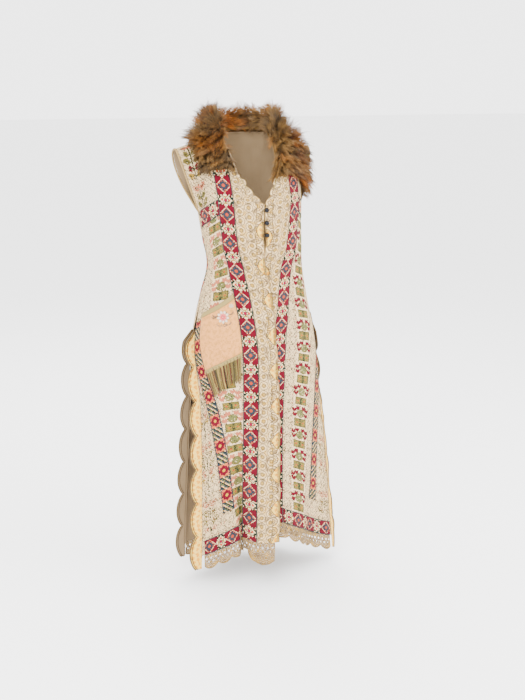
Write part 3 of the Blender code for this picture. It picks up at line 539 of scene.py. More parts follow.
# Front, bust and hem tapes: a crimson square with a diamond and a blue flower, then two rosettes
def roseMotif(look, x, y, chance, half=10.0, period=36.0):
    p = palette
    vy = (y + period / 2) % period - period / 2
    ax, ay = abs(x), abs(vy)
    steps = (ax % 4.0 < 2.0) * 1.6
    red = (ay + steps < 12.6) * (ax < half + 0.2)
    my = abs(y % period - period / 2)
    rx = abs(ax - 4.6)
    ring = rx + my
    color = look.color(p["cream"], p["green"], abs(ring - 4.6) < 1.0)
    color = look.color(color, p["dark"], (abs(ring - 7.2) < 0.8) * (chance > 0.15))
    color = look.color(color, p["dark"], (abs(rx - my) < 0.7) * (ring > 2.4) * (ring < 4.2) * (chance > 0.2))
    color = look.color(color, p["gold"], (my > 2.6) * (my < 5.0) * (ax < 1.6))
    color = look.color(color, p["coral"], ring < 2.0)
    color = look.color(color, p["rose"], ax + my < 2.4)
    color = look.color(color, p["crimson"], red)
    color = look.color(color, p["dark"], (ax > half - 2.2) * (ay > 10.4) * (ay < 13.2) * (chance > 0.3))
    diamond = ax * 1.12 + ay * 0.98
    color = look.color(color, p["salmon"], (diamond < 9.9) * red)
    color = look.color(color, p["cream"], (diamond < 9.9) * (diamond > 9.0) * (chance > 0.3) * red)
    color = look.color(color, p["crimson"], (diamond < 8.9) * red)
    turn = vy.angleFrom(x)
    reach = 5.3 + (turn * 4.0).do("COSINE", turn * 4.0) * 0.9 + (turn * 8.0).do("COSINE", turn * 8.0) * 0.6
    away = (x * x + vy * vy).root()
    color = look.color(color, p["salmon"], (abs(away - reach - 0.4) < 0.45) * (chance > 0.55) * red)
    color = look.color(color, p["blue"], (away < reach) * red)
    color = look.color(color, p["slate"], (away < reach - 0.8) * (chance > 0.6) * red)
    color = look.color(color, p["coral"], ax + ay < 2.4)
    return look.color(color, p["slate"], ax > half - 0.9)


# Skirt tapes: crimson flowers on salmon squares, then slate blocks with slanted bars
def skirtMotif(look, x, y, chance, half=8.0, period=33.0):
    p = palette
    vy = (y + period / 2) % period - period / 2
    ax, ay = abs(x), abs(vy)
    flower = ay < 7.6
    my = y % period - period / 2
    bars = (x + my) % 7.0
    color = look.color(p["slate"], p["cream"], (bars < 2.1) * (chance < 0.8))
    color = look.color(color, p["dark"], (bars > 2.1) * (bars < 3.9))
    core = (x - my) % 7.0
    color = look.color(color, p["coral"], (bars < 2.1) * (core < 1.4))
    color = look.color(color, p["yellow"], (bars < 2.1) * (core > 3.4) * (core < 4.8))
    color = look.color(color, p["sage"], (bars > 4.4) * (chance > 0.72))
    color = look.color(color, p["salmon"], flower)
    color = look.color(color, p["crimson"], (petals(x, vy, 8.0, 7.3, 0.12) < 0.0) * flower)
    spoke = y.do("ABSOLUTE", (vy.angleFrom(x) * 4.0).sine())
    color = look.color(color, p["rose"], (spoke < 0.25) * (ax + ay > 3.0) * flower * (chance > 0.35))
    color = look.color(color, p["yellow"], ax + ay < 2.6)
    zig = abs(y % 4.0 - 2.0)
    return look.color(color, p["blue"], ax + zig * 0.5 > half - 0.9)


# Ground of the panels: fine worn stitches with faint lozenges
def groundMotif(look, x, y, chance):
    p = palette
    cell = 11.0
    gx, gy = abs(x % cell - cell / 2), abs(y % cell - cell / 2)
    ring = gx + gy
    patchy = look.grain(look.place(x, y), 0.045, 2.0)
    color = look.color(p["cream"], p["ecru"], patchy)
    color = look.color(color, p["tan"], (abs(ring - 5.0) < 0.9) * (chance < 0.62))
    color = look.color(color, p["dark"], (abs(ring - 5.0) < 0.9) * (chance < 0.38))
    color = look.color(color, p["olive"], (abs(gx - gy) < 0.8) * (ring < 4.0) * (chance < 0.45))
    color = look.color(color, p["pink"], (ring < 1.7) * (chance > 0.5))
    color = look.color(color, p["tan"], chance > 0.84)
    return look.color(color, p["dark"], chance > 0.915)


# Rows of heart clusters and of flower pairs up the middle of a panel
def motifRows(look, color, x, y, chance, hearts, period=28.5):
    p = palette
    ax = abs(x) * 0.80
    vy = (y + period / 2) % period - period / 2
    fx = ax - 4.7
    square = (abs(fx) < 4.4) * (abs(vy) < 5.2)
    color = look.color(color, p["olive"], square * (chance < 0.90))
    color = look.color(color, p["green"], square * (abs(fx) > 3.3) * (chance > 0.35))
    color = look.color(color, p["gold"], (petals(fx, vy, 6.0, 4.4, 0.25) < 0.0) * (chance < 0.72))
    color = look.color(color, p["sage"], (abs(abs(fx) + abs(vy) - 3.4) < 0.6) * (chance < 0.7))
    color = look.color(color, p["coral"], (abs(fx) + abs(vy) < 1.2))
    my = y % period - period / 2
    fan = (ax * ax + (my - 2.2) * (my - 2.2)).root()
    color = look.color(color, p["sage"], (fan < 5.4) * (chance < 0.80))
    color = look.color(color, p["olive"], (abs(fan - 4.8) < 0.7) * (chance < 0.7))
    for across, down in ((9.4, -1.6), (4.4, -4.4), (8.4, 4.4)):
        hx, hy = abs(ax - across), my - down
        heart = (hx < 2.6) * (hy < 3.0 - hx * 0.7) * (hy > -2.8) * (1.0 - (hx < 0.6) * (hy < -1.6))
        color = look.color(color, hearts, heart)
    return color


def blocksMotif(hearts):
    def motif(look, x, y, chance):
        color = groundMotif(look, x, y, chance)
        color = look.color(color, palette["cream"], (abs(x) < 14.0) * (chance < 0.84))
        return motifRows(look, color, x, y, chance, hearts)
    return motif


# A climbing plant: an upright stem with leaf pairs and buds, repeated down the cloth
def plantMotif(size, period, hearts, strength):
    def motif(look, x, y, chance):
        p = palette
        color = groundMotif(look, x, y, chance)
        px = x / size
        ax = abs(px)
        vy = (y / size) % period
        faint = chance < strength
        color = look.color(color, p["green"], (ax < 1.1) * (vy < period - 4.0) * faint)
        for down, reach, tone in ((6.0, 7.0, p["pink"]), (15.0, 6.0, p["olive"]), (24.0, 8.0, p["olive"]),
                                  (32.0, 5.5, hearts), (40.0, 7.0, p["gold"])):
            if down + 4.0 < period:
                dx, dy = ax - reach * 0.72, vy - down + ax * 0.55
                leaf = (dx * dx / (reach * 0.50) ** 2 + dy * dy * 0.085) < 1.0
                color = look.color(color, tone, leaf * faint)
                vein = (abs(dy) < 0.7) * (ax < reach)
                color = look.color(color, p["green"], vein * faint * (chance > 0.15))
        top = (px * px + (vy - 3.0) * (vy - 3.0)).root()
        return look.color(color, p["pink"], (top < 2.8) * faint)
    return motif


# The back: motif rows down the middle, two flower tapes beside them and plants outside
def backMotif(look, x, y, chance):
    p = palette
    ax = abs(x)
    color = groundMotif(look, x, y, chance)
    rows = motifRows(look, color, x, y, chance, p["crimson"])
    color = look.color(color, rows, ax < 15.0)
    tapes = roseMotif(look, ax - 30.0, y, chance)
    color = look.color(color, tapes, abs(ax - 30.0) < 10.0)
    rows = motifRows(look, color, ax - 56.0, y + 9.0, chance, p["pink"])
    color = look.color(color, rows, abs(ax - 56.0) < 14.0)
    slanted = skirtMotif(look, ax - 80.0, y, chance)
    return look.color(color, slanted, (abs(ax - 80.0) < 8.0) * (y > 130.0))


print("mixing the finishes")
tapeLook = stitched("roseTape", roseMotif)
skirtTapeLook = stitched("skirtTape", skirtMotif)
groundLook = stitched("groundStitch", groundMotif)
blockLeftLook = stitched("motifRowsLeft", blocksMotif(palette["crimson"]))
blockRightLook = stitched("motifRowsRight", blocksMotif(palette["pink"]))
chestPlantLook = stitched("chestPlant", plantMotif(1.3, 48.0, palette["crimson"], 0.78), 0.0019)
shoulderLook = stitched("shoulderFlowers", plantMotif(1.3, 36.0, palette["crimson"], 0.85), 0.0021)
gorePlantLook = stitched("gorePlant", plantMotif(1.3, 58.0, palette["pink"], 0.50))
backLook = stitched("backPatchwork", backMotif)


def canvasLining():
    look = Look("canvasLining", 0.9, 0.0, 0.02, 0.1)
    u, v = look.uv()
    weave = ((u * 2800.0).sine() * (v * 2800.0).sine()) * 0.5 + 0.5
    patchy = look.grain(look.objectPlace(), 14.0, 4.0)
    color = look.color(palette["lining"], palette["liningPale"], patchy)
    look.set("Base Color", look.color(color, (0.09, 0.06, 0.03), weave * 0.30))
    look.bump(weave, 0.0004, 0.5)
    return look.material


# Yellow cloth with orange spots and small leaves, and a stitched line beside its scalloped edge
def printCloth(name, lined=True):
    look = Look(name, 0.8, 0.0, 0.03)
    u, v = look.uv()
    cell = 0.015
    cx, cy = abs((u / cell) % 1.0 - 0.5), abs((v / cell + ((u / cell).floor() % 2.0) * 0.5) % 1.0 - 0.5)
    dot = (cx * cx + cy * cy).root()
    patchy = look.grain(look.objectPlace(), 30.0, 3.0)
    color = look.color(palette["print"], palette["printPale"], patchy)
    spotGrain = look.grain(look.place(u, v), 120.0, 1.0)
    color = look.color(color, palette["orange"], (dot < spotGrain * 0.85 - 0.10) * 0.9)
    color = look.color(color, palette["yellow"], dot < 0.10)
    leaf = look.grain(look.place(u, v), 190.0, 2.0)
    color = look.color(color, palette["olive"], (leaf > 0.64) * 0.6)
    weave = ((u * 4200.0).sine() * (v * 4200.0).sine()) * 0.5 + 0.5
    height = weave
    if lined:
        edge, run = look.uv("edge")
        seam = abs(edge - 0.0052) < 0.0006
        color = look.color(color, palette["laceDark"], seam * 0.9)
        height = weave - seam * 2.0
    look.set("Base Color", color)
    look.bump(height, 0.0004, 0.6)
    return look.material


laceSet = dict(
    pitch=0.100, depth=0.012, depthTop=0.006, shellPitch=0.030, shell=0.009, shellEnd=0.12, notch=0.017,
    lift=0.0020, thick=0.0010, spacing=0.004, start=3.5, cells=20,
    printLift=0.0007, printThick=0.0008, printOut=0.004, inside=1.98, printInside=1.9, shellDeep=0.022,
    shellRay=0.0190, picot=0.0008, piping=0.0013, cord=0.0006, cordIn=0.0032)


# Corded lace: shells along the scalloped edge, then flower rings in a net, cut through between threads
def laceLook(name, shells):
    look = Look(name, 0.88, 0.0, 0.04)
    u, v = look.uv()
    edge, run = look.uv("edge")
    cell = 0.026 if shells else 0.018
    cx, cy = (u / cell) % 1.0 - 0.5, (v / cell + ((u / cell).floor() % 2.0) * 0.5) % 1.0 - 0.5
    away = (cx * cx + cy * cy).root()
    turn = cy.angleFrom(cx)
    spokes = ((turn * 8.0).sine() > -0.3) * (away > 0.14) * (away < 0.34)
    rings = (abs(away - 0.38) < 0.07).most(away < 0.15)
    netCell = 0.0036
    nx, ny = abs((u / netCell) % 1.0 - 0.5), abs((v / netCell) % 1.0 - 0.5)
    net = (nx.most(ny) > 0.22) * (away > 0.42)
    threads = rings.most(spokes).most(net)
    outline = (abs(away - 0.455) < 0.034).most(abs(away - 0.185) < 0.034)
    dots = away < 0.15
    if shells:
        deep, pitch, reach = laceSet["shellDeep"], laceSet["shellPitch"], laceSet["shellRay"]
        sx = ((run / pitch) % 1.0 - 0.5) * pitch
        sy = deep - edge
        far = (sx * sx * 1.5 + sy * sy).root()
        ray = (sy.angleFrom(sx) * 13.0).sine() > -0.25
        inside = edge < deep
        fans = ray * (far > 0.0075) * (far < reach - 0.0040)
        cords = (abs(far - reach) < 0.0024).most(far < 0.0060).most(edge < 0.0018)
        marks = (abs(far - reach + 0.0036) < 0.0013).most(abs(far - 0.0070) < 0.0011)
        between = (far > reach) * (((run + edge) * 2400.0).sine() > 0.1)
        shell = fans.most(cords).most(between)
        threads = threads * (1.0 - inside) + shell * inside
        outline = outline * (1.0 - inside) + marks * inside
        outline = outline.most(abs(edge - deep) < 0.0010)
        dots = dots * (1.0 - inside) + (far < 0.0048) * inside
        wave = (run / laceSet["pitch"]) * 2.0 * pi
        notch = wave.do("COSINE", wave).most(0.0).root() * laceSet["notch"] * (run > laceSet["shellEnd"])
        kept = edge > notch
        outline = outline * kept
        outline = outline.most((abs(edge - notch) < 0.0012) * (notch > 0.0012))
        threads = threads * kept
    else:
        threads = threads.most(edge < 0.0030)
        outline = outline.most(abs(edge - 0.0036) < 0.0006)
    cord = look.grain(look.place(u, v), 700.0, 2.0)
    worn = look.grain(look.objectPlace(), 26.0, 3.0)
    color = look.color(palette["ecru"], palette["lace"], cord)
    color = look.color(color, palette["cream"], worn * 0.7)
    if not shells:
        color = look.color(color, palette["tan"], 0.72)
    swirl = look.grain(look.place(u, v), 62.0, 2.0)
    color = look.color(color, palette["yellow"], ((swirl - 0.53) * 9.0).most(0.0).least(1.0) * 0.60)
    color = look.color(color, palette["tan"], ((0.47 - swirl) * 12.0).most(0.0).least(1.0) * 0.75)
    color = look.color(color, palette["gold"], dots * 0.85)
    specks = look.grain(look.place(u, v), 330.0, 1.0)
    color = look.color(color, palette["laceDark"], (specks > 0.60) * 0.60)
    color = look.color(color, palette["laceDark"], outline * (0.85 if shells else 0.60))
    under = look.color(palette["laceDark"], palette["tan"], worn)
    look.set("Base Color", look.color(under, color, threads.most(outline)))
    veil = kept * 0.15 if shells else 0.0
    look.set("Alpha", threads.most(outline).most(veil))
    look.bump(threads * (0.7 + cord * 0.3) - outline * 0.5, 0.0018, 1.0)
    return look.material


def braid(name, first, second, scale=300.0, metallic=0.0, roughness=0.6, distance=0.0007):
    look = Look(name, roughness, metallic, 0.03, 0.3)
    u, v = look.uv()
    twist = (u * scale * 2.0 + v * scale * 6.0).sine() * 0.5 + 0.5
    speck = look.grain(look.place(u, v), 700.0, 2.0)
    look.set("Base Color", look.color(first, second, twist * 0.6 + speck * 0.4))
    look.bump(twist, distance, 0.8)
    return look.material


# Flat gold braid: plaited diamonds with loops along both edges
def flatBraid():
    look = Look("pocketBraid", 0.5, 0.15, 0.0, 0.3)
    u, v = look.uv()
    cell = 0.0042
    a, b = abs((u / cell + v / cell) % 1.0 - 0.5), abs((u / cell - v / cell) % 1.0 - 0.5)
    plait = a.most(b) * 2.0
    speck = look.grain(look.place(u, v), 900.0, 2.0)
    color = look.color((0.085, 0.058, 0.014), (0.28, 0.205, 0.055), plait)
    look.set("Base Color", look.color(color, (0.42, 0.29, 0.09), speck * 0.4))
    look.bump(plait, 0.0010, 0.9)
    return look.material


# Peach brocade with gold sprigs thrown over it
def brocade():
    look = Look("peachBrocade", 0.6, 0.0, 0.03, 0.2)
    u, v = look.uv()
    flow = look.place(u, v)
    sprig = look.grain(flow, 95.0, 3.0, 0.65)
    fine = look.grain(flow, 420.0, 2.0)
    raised = ((sprig - 0.46) * 9.0).most(0.0).least(1.0) * ((fine - 0.40) * 6.0).most(0.0).least(1.0)
    ribs = (u * 5200.0 + v * 900.0).sine() * 0.5 + 0.5
    color = look.color(palette["peach"], palette["peachPale"], fine)
    color = look.color(color, (0.34, 0.165, 0.022), raised * 0.9)
    look.set("Base Color", look.color(color, (0.42, 0.12, 0.04), ribs * 0.22))
    look.set("Roughness", 0.62 - raised * 0.22)
    look.bump(raised * 0.8 + ribs * 0.2, 0.0008, 0.8)
    return look.material


# A finish that reads its colour from the piece, for hair, cords and beads of many shades
def toned(name, roughness, gloss=0.3, metallic=0.0, twist=0.0):
    look = Look(name, roughness, metallic, 0.0, gloss)
    tone = look.node("ShaderNodeAttribute", dict(attribute_name="tone"))
    if twist:
        u, v = look.uv()
        wound = (u * 1900.0 + v * twist).sine() * 0.5 + 0.5
        shade = 0.62 + wound * 0.5
        tone = look.color(tone, look.place(shade, shade, shade), 1.0, "MULTIPLY")
        look.bump(wound, 0.0005, 0.9)
    else:
        streak = look.grain(look.objectPlace((60.0, 60.0, 22.0)), 9.0, 3.0)
        shade = 0.80 + streak * 0.4
        tone = look.color(tone, look.place(shade, shade, shade), 1.0, "MULTIPLY")
    look.set("Base Color", tone)
    return look.material


def buttonGloss():
    look = Look("buttonHorn", 0.16, gloss=0.16)
    cloud = look.grain(look.objectPlace(), 220.0, 3.0)
    look.set("Base Color", look.color((0.0015, 0.0018, 0.0025), (0.006, 0.007, 0.010), cloud))
    look.set("Roughness", 0.10 + cloud * 0.16)
    look.shader.inputs["Coat Weight"].default_value = 0.05
    look.shader.inputs["Coat Roughness"].default_value = 0.08
    return look.material


liningLook = canvasLining()
printLook = printCloth("spottedPrint")
edgeLaceLook = laceLook("shellLace", True)
hemLaceLook = laceLook("guipureLace", False)
pipingLook = braid("goldPiping", (0.17, 0.092, 0.018), (0.05, 0.026, 0.006), 900.0, 0.1, 0.5)
brownPiping = braid("brownPiping", (0.030, 0.014, 0.004), (0.09, 0.048, 0.014), 900.0, 0.0, 0.7)
bindingLook = braid("boundEdge", (0.36, 0.235, 0.080), (0.15, 0.085, 0.022), 220.0, 0.0, 0.75, 0.0009)
braidLook = flatBraid()
brocadeLook = brocade()
furLook = toned("foxHair", 0.6, 0.18)
hideLook = toned("furGround", 0.85, 0.05)
bullionLook = toned("bullionThread", 0.42, 0.35, 0.2, 5200.0)
beadLook = toned("glassBead", 0.3, 0.35)
buttonLook = buttonGloss()


# A net of points made a mesh: a bmesh grid whose vertices go to the points
def netPiece(name, net, uv, looks, thick=0.0, edge=None, outward=None, cutFace=None, inside=0):
    net = np.asarray(net, dtype=float)
    rows, columns = net.shape[:2]
    shape = bmesh.new()
    bmesh.ops.create_grid(shape, x_segments=columns - 1, y_segments=rows - 1, size=1.0)
    shape.verts.ensure_lookup_table()
    for index, vertex in enumerate(shape.verts):
        vertex.co = net[index // columns, index % columns]
    maps = [("cloth", np.asarray(uv, dtype=float))]
    if edge is not None:
        maps.append(("edge", np.asarray(edge, dtype=float)))
    for title, values in maps:
        layer = shape.loops.layers.uv.new(title)
        for face in shape.faces:
            for loop in face.loops:
                row, column = divmod(loop.vert.index, columns)
                loop[layer].uv = values[row, column]
    if cutFace is not None:
        gone = []
        for face in shape.faces:
            spots = [divmod(vertex.index, columns) for vertex in face.verts]
            if cutFace(min(r for r, c in spots), min(c for r, c in spots)):
                gone.append(face)
        bmesh.ops.delete(shape, geom=gone, context="FACES")
    shape.normal_update()
    if outward is not None:
        total = 0.0
        for face in shape.faces:
            total += face.normal.dot(outward(face.calc_center_median())) * face.calc_area()
        if total < 0.0:
            bmesh.ops.reverse_faces(shape, faces=shape.faces)
    return finished(name, shape, looks, thick, inside)


def finished(name, shape, looks, thick=0.0, inside=0):
    mesh = bpy.data.meshes.new(name)
    shape.to_mesh(mesh)
    shape.free()
    mesh.shade_smooth()
    for look in looks:
        mesh.materials.append(look)
    piece = bpy.data.objects.new(name, mesh)
    bpy.context.scene.collection.objects.link(piece)
    if thick:
        wall = piece.modifiers.new("wall", "SOLIDIFY")
        wall.thickness, wall.offset = thick, -1.0
        wall.material_offset, wall.material_offset_rim = inside, inside
    return piece


def fromMiddle(point):
    return Vector((point.x - cut["middle"], point.y, 0.0))


def ride(piece, slot, *nodes):
    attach(piece, "root")
    if nodes:
        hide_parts(*nodes)
    return piece


# States the flat cut of a cloth piece from its net: its widest row and its longest column; its area is worked
# out but not stated
def cutSheet(piece, net):
    net = np.asarray(net, dtype=float)
    across = np.linalg.norm(np.diff(net, axis=1), axis=2)
    down = np.linalg.norm(np.diff(net, axis=0), axis=2)
    width, length = across.sum(axis=1).max(), down.sum(axis=0).max()
    first, second = net[1:, 1:] - net[:-1, :-1], net[1:, :-1] - net[:-1, 1:]
    area = np.linalg.norm(np.cross(first, second), axis=2).sum() / 2
    print("cut", piece.name, round(width * 1000), "x", round(length * 1000), "mm")


def walkedAcross(net):
    steps = np.linalg.norm(np.diff(net, axis=1), axis=2)
    return np.concatenate([np.zeros((net.shape[0], 1)), np.cumsum(steps, axis=1)], axis=1)


def walkedDown(net):
    steps = np.linalg.norm(np.diff(net, axis=0), axis=2)
    return np.concatenate([np.zeros((1, net.shape[1])), np.cumsum(steps, axis=0)], axis=0)


# A panel; each patch is a look with its columns, rows and the column its pattern is centred on
def panelPiece(name, cloth, looks, patches, node):
    fine, columns = cloth.fine, cloth.net.shape[1]
    across = walkedAcross(cloth.net)
    middle = int((6 if cloth.first == 0 else -cloth.first) * fine)
    down = walkedDown(cloth.net)[:, middle]
    uv = np.stack([across - across[:, middle:middle + 1], np.repeat(down[:, None], columns, axis=1)], axis=2)
    piece = netPiece(name, cloth.net, uv, looks, cut["wall"], outward=fromMiddle, inside=len(looks) - 1)
    layer = piece.data.uv_layers["cloth"].uv
    for face in piece.data.polygons:
        spots = [divmod(vertex, columns) for vertex in face.vertices]
        column = cloth.first + min(c for r, c in spots) / fine
        row = min(r for r, c in spots) / fine
        for look, firstColumn, lastColumn, firstRow, lastRow, centre in patches:
            if firstColumn <= column < lastColumn and firstRow <= row < lastRow:
                face.material_index = look
                mark = int((centre - cloth.first) * fine)
                for loop, (r, c) in zip(face.loop_indices, spots):
                    layer[loop].vector = (across[r, c] - across[r, mark], down[r])
                break
    ride(piece, "patchwork", node)
    cutSheet(piece, cloth.net)
    return piece


print("cutting the panels")
frontRight = panelPiece("frontRight", rightCloth,
                        [groundLook, blockRightLook, chestPlantLook, gorePlantLook, liningLook],
                        ((1, 4, 8, 7, 23, 5.9), (2, 6, 11, 0.6, 6, 8.4), (3, 9, 11, 13, 22.6, 10.2)),
                        "front_right")
frontLeft = panelPiece("frontLeft", leftCloth,
                       [groundLook, blockLeftLook, shoulderLook, gorePlantLook, liningLook],
                       ((1, 4, 8, 7, 23, 6.0), (2, 6, 11, 0.3, 6, 9.2), (3, 9, 11, 13, 22.6, 10.2)),
                       "front_left")
back = panelPiece("backPanel", backCloth, [backLook, liningLook], (), "back")


tapeSet = dict(lift=0.0007, hemLift=0.0013, thick=0.0010)


# A tape laid on a panel; a level one runs across it
def tapePiece(name, cloth, columns, rows, lift, look, node, under, level=False, width=0.045):
    thick = tapeSet["thick"]
    net = np.array([[cloth.at(c, r, lift + thick) for c in columns] for r in rows])
    across, down = walkedAcross(net), walkedDown(net)
    if level:
        length = np.repeat(across.mean(axis=0)[None, :], len(rows), axis=0)
        uv = np.stack([(down / down[-1:] - 0.5) * width, length + 0.02], axis=2)
    else:
        length = np.repeat(down.mean(axis=1)[:, None], len(columns), axis=1)
        uv = np.stack([(across / across[:, -1:] - 0.5) * width, length], axis=2)
    piece = netPiece(name, net, uv, [look], thick, outward=fromMiddle)
    ride(piece, "cross_stitch", node)
    cutSheet(piece, net)
    return piece


print("sewing on the tapes")
for hand, cloth, under in (("right", rightCloth, frontRight), ("left", leftCloth, frontLeft)):
    title = hand.capitalize()
    lift = tapeSet["lift"]
    allRows = np.linspace(0, hemRow, hemRow * 8 + 1)
    tapePiece("frontTape" + title, cloth, np.linspace(2, 4, 17), allRows, lift,
              tapeLook, "tape_front_" + hand, under)
    tapePiece("bustTape" + title, cloth, np.linspace(4.02, side, 57), np.linspace(6, 7, 13), lift,
              tapeLook, "tape_bust_" + hand, under, level=True)
    tapePiece("skirtTape" + title, cloth, np.linspace(8, 9, 9), np.linspace(12, 22, 81), lift,
              skirtTapeLook, "tape_skirt_" + hand, under, width=0.036)
    tapePiece("hemTape" + title, cloth, np.linspace(4.02, side - 0.4, 54), np.linspace(23, 24, 13),
              tapeSet["hemLift"], tapeLook, "tape_hem_" + hand, under, level=True)


def scallopReach(length, pitch, depth, phase=0.0):
    place = (length / pitch + phase) % 1.0
    return depth * max(math.sin(pi * place), 0.0) ** 0.7


# Many closed tubes at once: paths[tube, step], radii[tube, step] and a tone for every point
def tubes(name, paths, radii, tones, look, sides=5):
    count, steps = paths.shape[:2]
    ahead = np.gradient(paths, axis=1)
    ahead /= np.linalg.norm(ahead, axis=2, keepdims=True) + 1e-12
    aside = np.cross(ahead, np.broadcast_to(np.array([0.31, 0.17, 0.93]), ahead.shape))
    aside /= np.linalg.norm(aside, axis=2, keepdims=True) + 1e-12
    other = np.cross(ahead, aside)
    gone = np.linalg.norm(np.diff(paths, axis=1), axis=2)
    walked = np.concatenate([np.zeros((count, 1)), np.cumsum(gone, axis=1)], axis=1)
    width = sides + 1
    turns = 2 * pi * (np.arange(width) % sides) / sides
    ring = aside[:, :, None] * np.cos(turns)[:, None] + other[:, :, None] * np.sin(turns)[:, None]
    points = paths[:, :, None] + ring * radii[:, :, None, None]
    points = points.transpose(1, 0, 2, 3).reshape(-1, 3)
    shade = np.repeat(tones.transpose(1, 0, 2)[:, :, None], width, axis=2).reshape(-1, 3)
    shape = bmesh.new()
    bmesh.ops.create_grid(shape, x_segments=count * width - 1, y_segments=steps - 1, size=1.0)
    tone = shape.verts.layers.float_color.new("tone")
    layer = shape.loops.layers.uv.new("cloth")
    for index, vertex in enumerate(shape.verts):
        vertex.co = points[index]
        vertex[tone] = (*shade[index], 1.0)
    gaps = []
    girth = 2 * pi * max(radii[0].max(), 0.0005)
    for face in shape.faces:
        spots = [divmod(loop.vert.index, count * width) for loop in face.loops]
        if min(column for row, column in spots) % width == sides:
            gaps.append(face)
            continue
        for loop, (row, column) in zip(face.loops, spots):
            loop[layer].uv = (girth * (column % width) / sides, walked[column // width, row])
    bmesh.ops.delete(shape, geom=gaps, context="FACES")
    bmesh.ops.remove_doubles(shape, verts=shape.verts, dist=1e-7)
    rims = [edge for edge in shape.edges if edge.is_boundary]
    bmesh.ops.holes_fill(shape, edges=rims, sides=sides)
    bmesh.ops.recalc_face_normals(shape, faces=shape.faces)
    return finished(name, shape, [look])


# One cord of even girth along points
def cordPiece(name, points, radius, look, sides=6, closed=False):
    path = np.array([list(point) for point in points], dtype=float)
    if closed:
        path = np.concatenate([path, path[:2]])
    radii = np.full((1, len(path)), radius)
    tones = np.full((1, len(path), 3), 0.4)
    return tubes(name, path[None], radii, tones, look, sides)


def joined(name, parts):
    with bpy.context.temp_override(active_object=parts[0], object=parts[0],
                                   selected_editable_objects=parts, selected_objects=parts):
        bpy.ops.object.join()
    parts[0].name = parts[0].data.name = name
    return parts[0]


print("sewing on the lace and the print")
sideSet = dict(pitch=0.104, depth=0.018, notch=0.010, least=0.003, rise=0.9, flare=0.85, inside=0.010,
               drop=0.040, lift=0.0007, thick=0.0010, cells=9, piping=0.0021, cord=0.0015, seam=0.0058,
               spacing=0.004)


def upperShare(cloth, row):
    height = cloth.at(0, min(row, hemRow)).z
    return smooth((height - cut["underlapStart"]) / (cut["underlapFull"] - cut["underlapStart"]))


# A scalloped strip down a front's free edge, from out beyond it to a column inside
def edgeStrip(name, cloth, firstRow, lift, thick, insideColumn, reach, look, slot, node, under):
    rows, lengths = cloth.rowsAlong(0, firstRow, hemRow, laceSet["spacing"])
    pitch = lengths[-1] / max(round(lengths[-1] / laceSet["pitch"]), 1)
    net, uv, edge = [], [], []
    for row, length in zip(rows, lengths):
        out = reach(cloth, row, length, pitch)
        free = cloth.beyond(0, row, 0.5, -out, lift + thick)
        cells = laceSet["cells"]
        line = [free]
        line += [cloth.at(insideColumn * step / cells, row, lift + thick) for step in range(cells + 1)]
        steps = [(b - a).length for a, b in zip(line, line[1:])]
        width = np.concatenate([[0.0], np.cumsum(steps)])
        net.append(line)
        uv.append([(w - width[-1], length) for w in width])
        edge.append([(w, length * laceSet["pitch"] / pitch) for w in width])
    strip = netPiece(name, net, uv, [look], thick, edge=edge, outward=fromMiddle)
    ride(strip, slot, node)
    cutSheet(strip, net)
    return net


def laceReach(cloth, row, length, pitch):
    depth = mix(laceSet["depthTop"], laceSet["depth"], upperShare(cloth, row))
    shell = scallopReach(length, laceSet["shellPitch"], laceSet["shell"])
    return mix(shell, scallopReach(length, pitch, depth), smooth((row - 5.5) / 1.5)) + 0.0003


def printReach(cloth, row, length, pitch):
    depth = mix(laceSet["depthTop"], laceSet["depth"], upperShare(cloth, row))
    return laceSet["printOut"] + scallopReach(length, pitch, depth - laceSet["printOut"], 0.5)


for hand, cloth, under in (("right", rightCloth, frontRight), ("left", leftCloth, frontLeft)):
    title = hand.capitalize()
    laceNet = edgeStrip("laceBorder" + title, cloth, laceSet["start"], laceSet["lift"], laceSet["thick"],
                        laceSet["inside"], laceReach, edgeLaceLook, "lace", "edge_lace_" + hand, under)
    printNet = edgeStrip("printUnderLace" + title, cloth, armRow - 1, laceSet["printLift"],
                         laceSet["printThick"], laceSet["printInside"], printReach, printLook,
                         "print_cloth", "edge_print_" + hand, under)
    free = [line[0] for line in laceNet]
    ride(cordPiece("lacePicot" + title, free, laceSet["picot"], bindingLook, 5), "lace")
    free = [line[0] for line in printNet]
    inner = [line[0] + (line[1] - line[0]).normalized() * laceSet["cordIn"] for line in printNet]
    pipes = [cordPiece("edgePiping" + title, free, laceSet["piping"], pipingLook, 6),
             cordPiece("edgeSeam" + title, inner, laceSet["cord"], brownPiping, 4)]
    ride(joined("edgePiping" + title, pipes), "gold_braid")


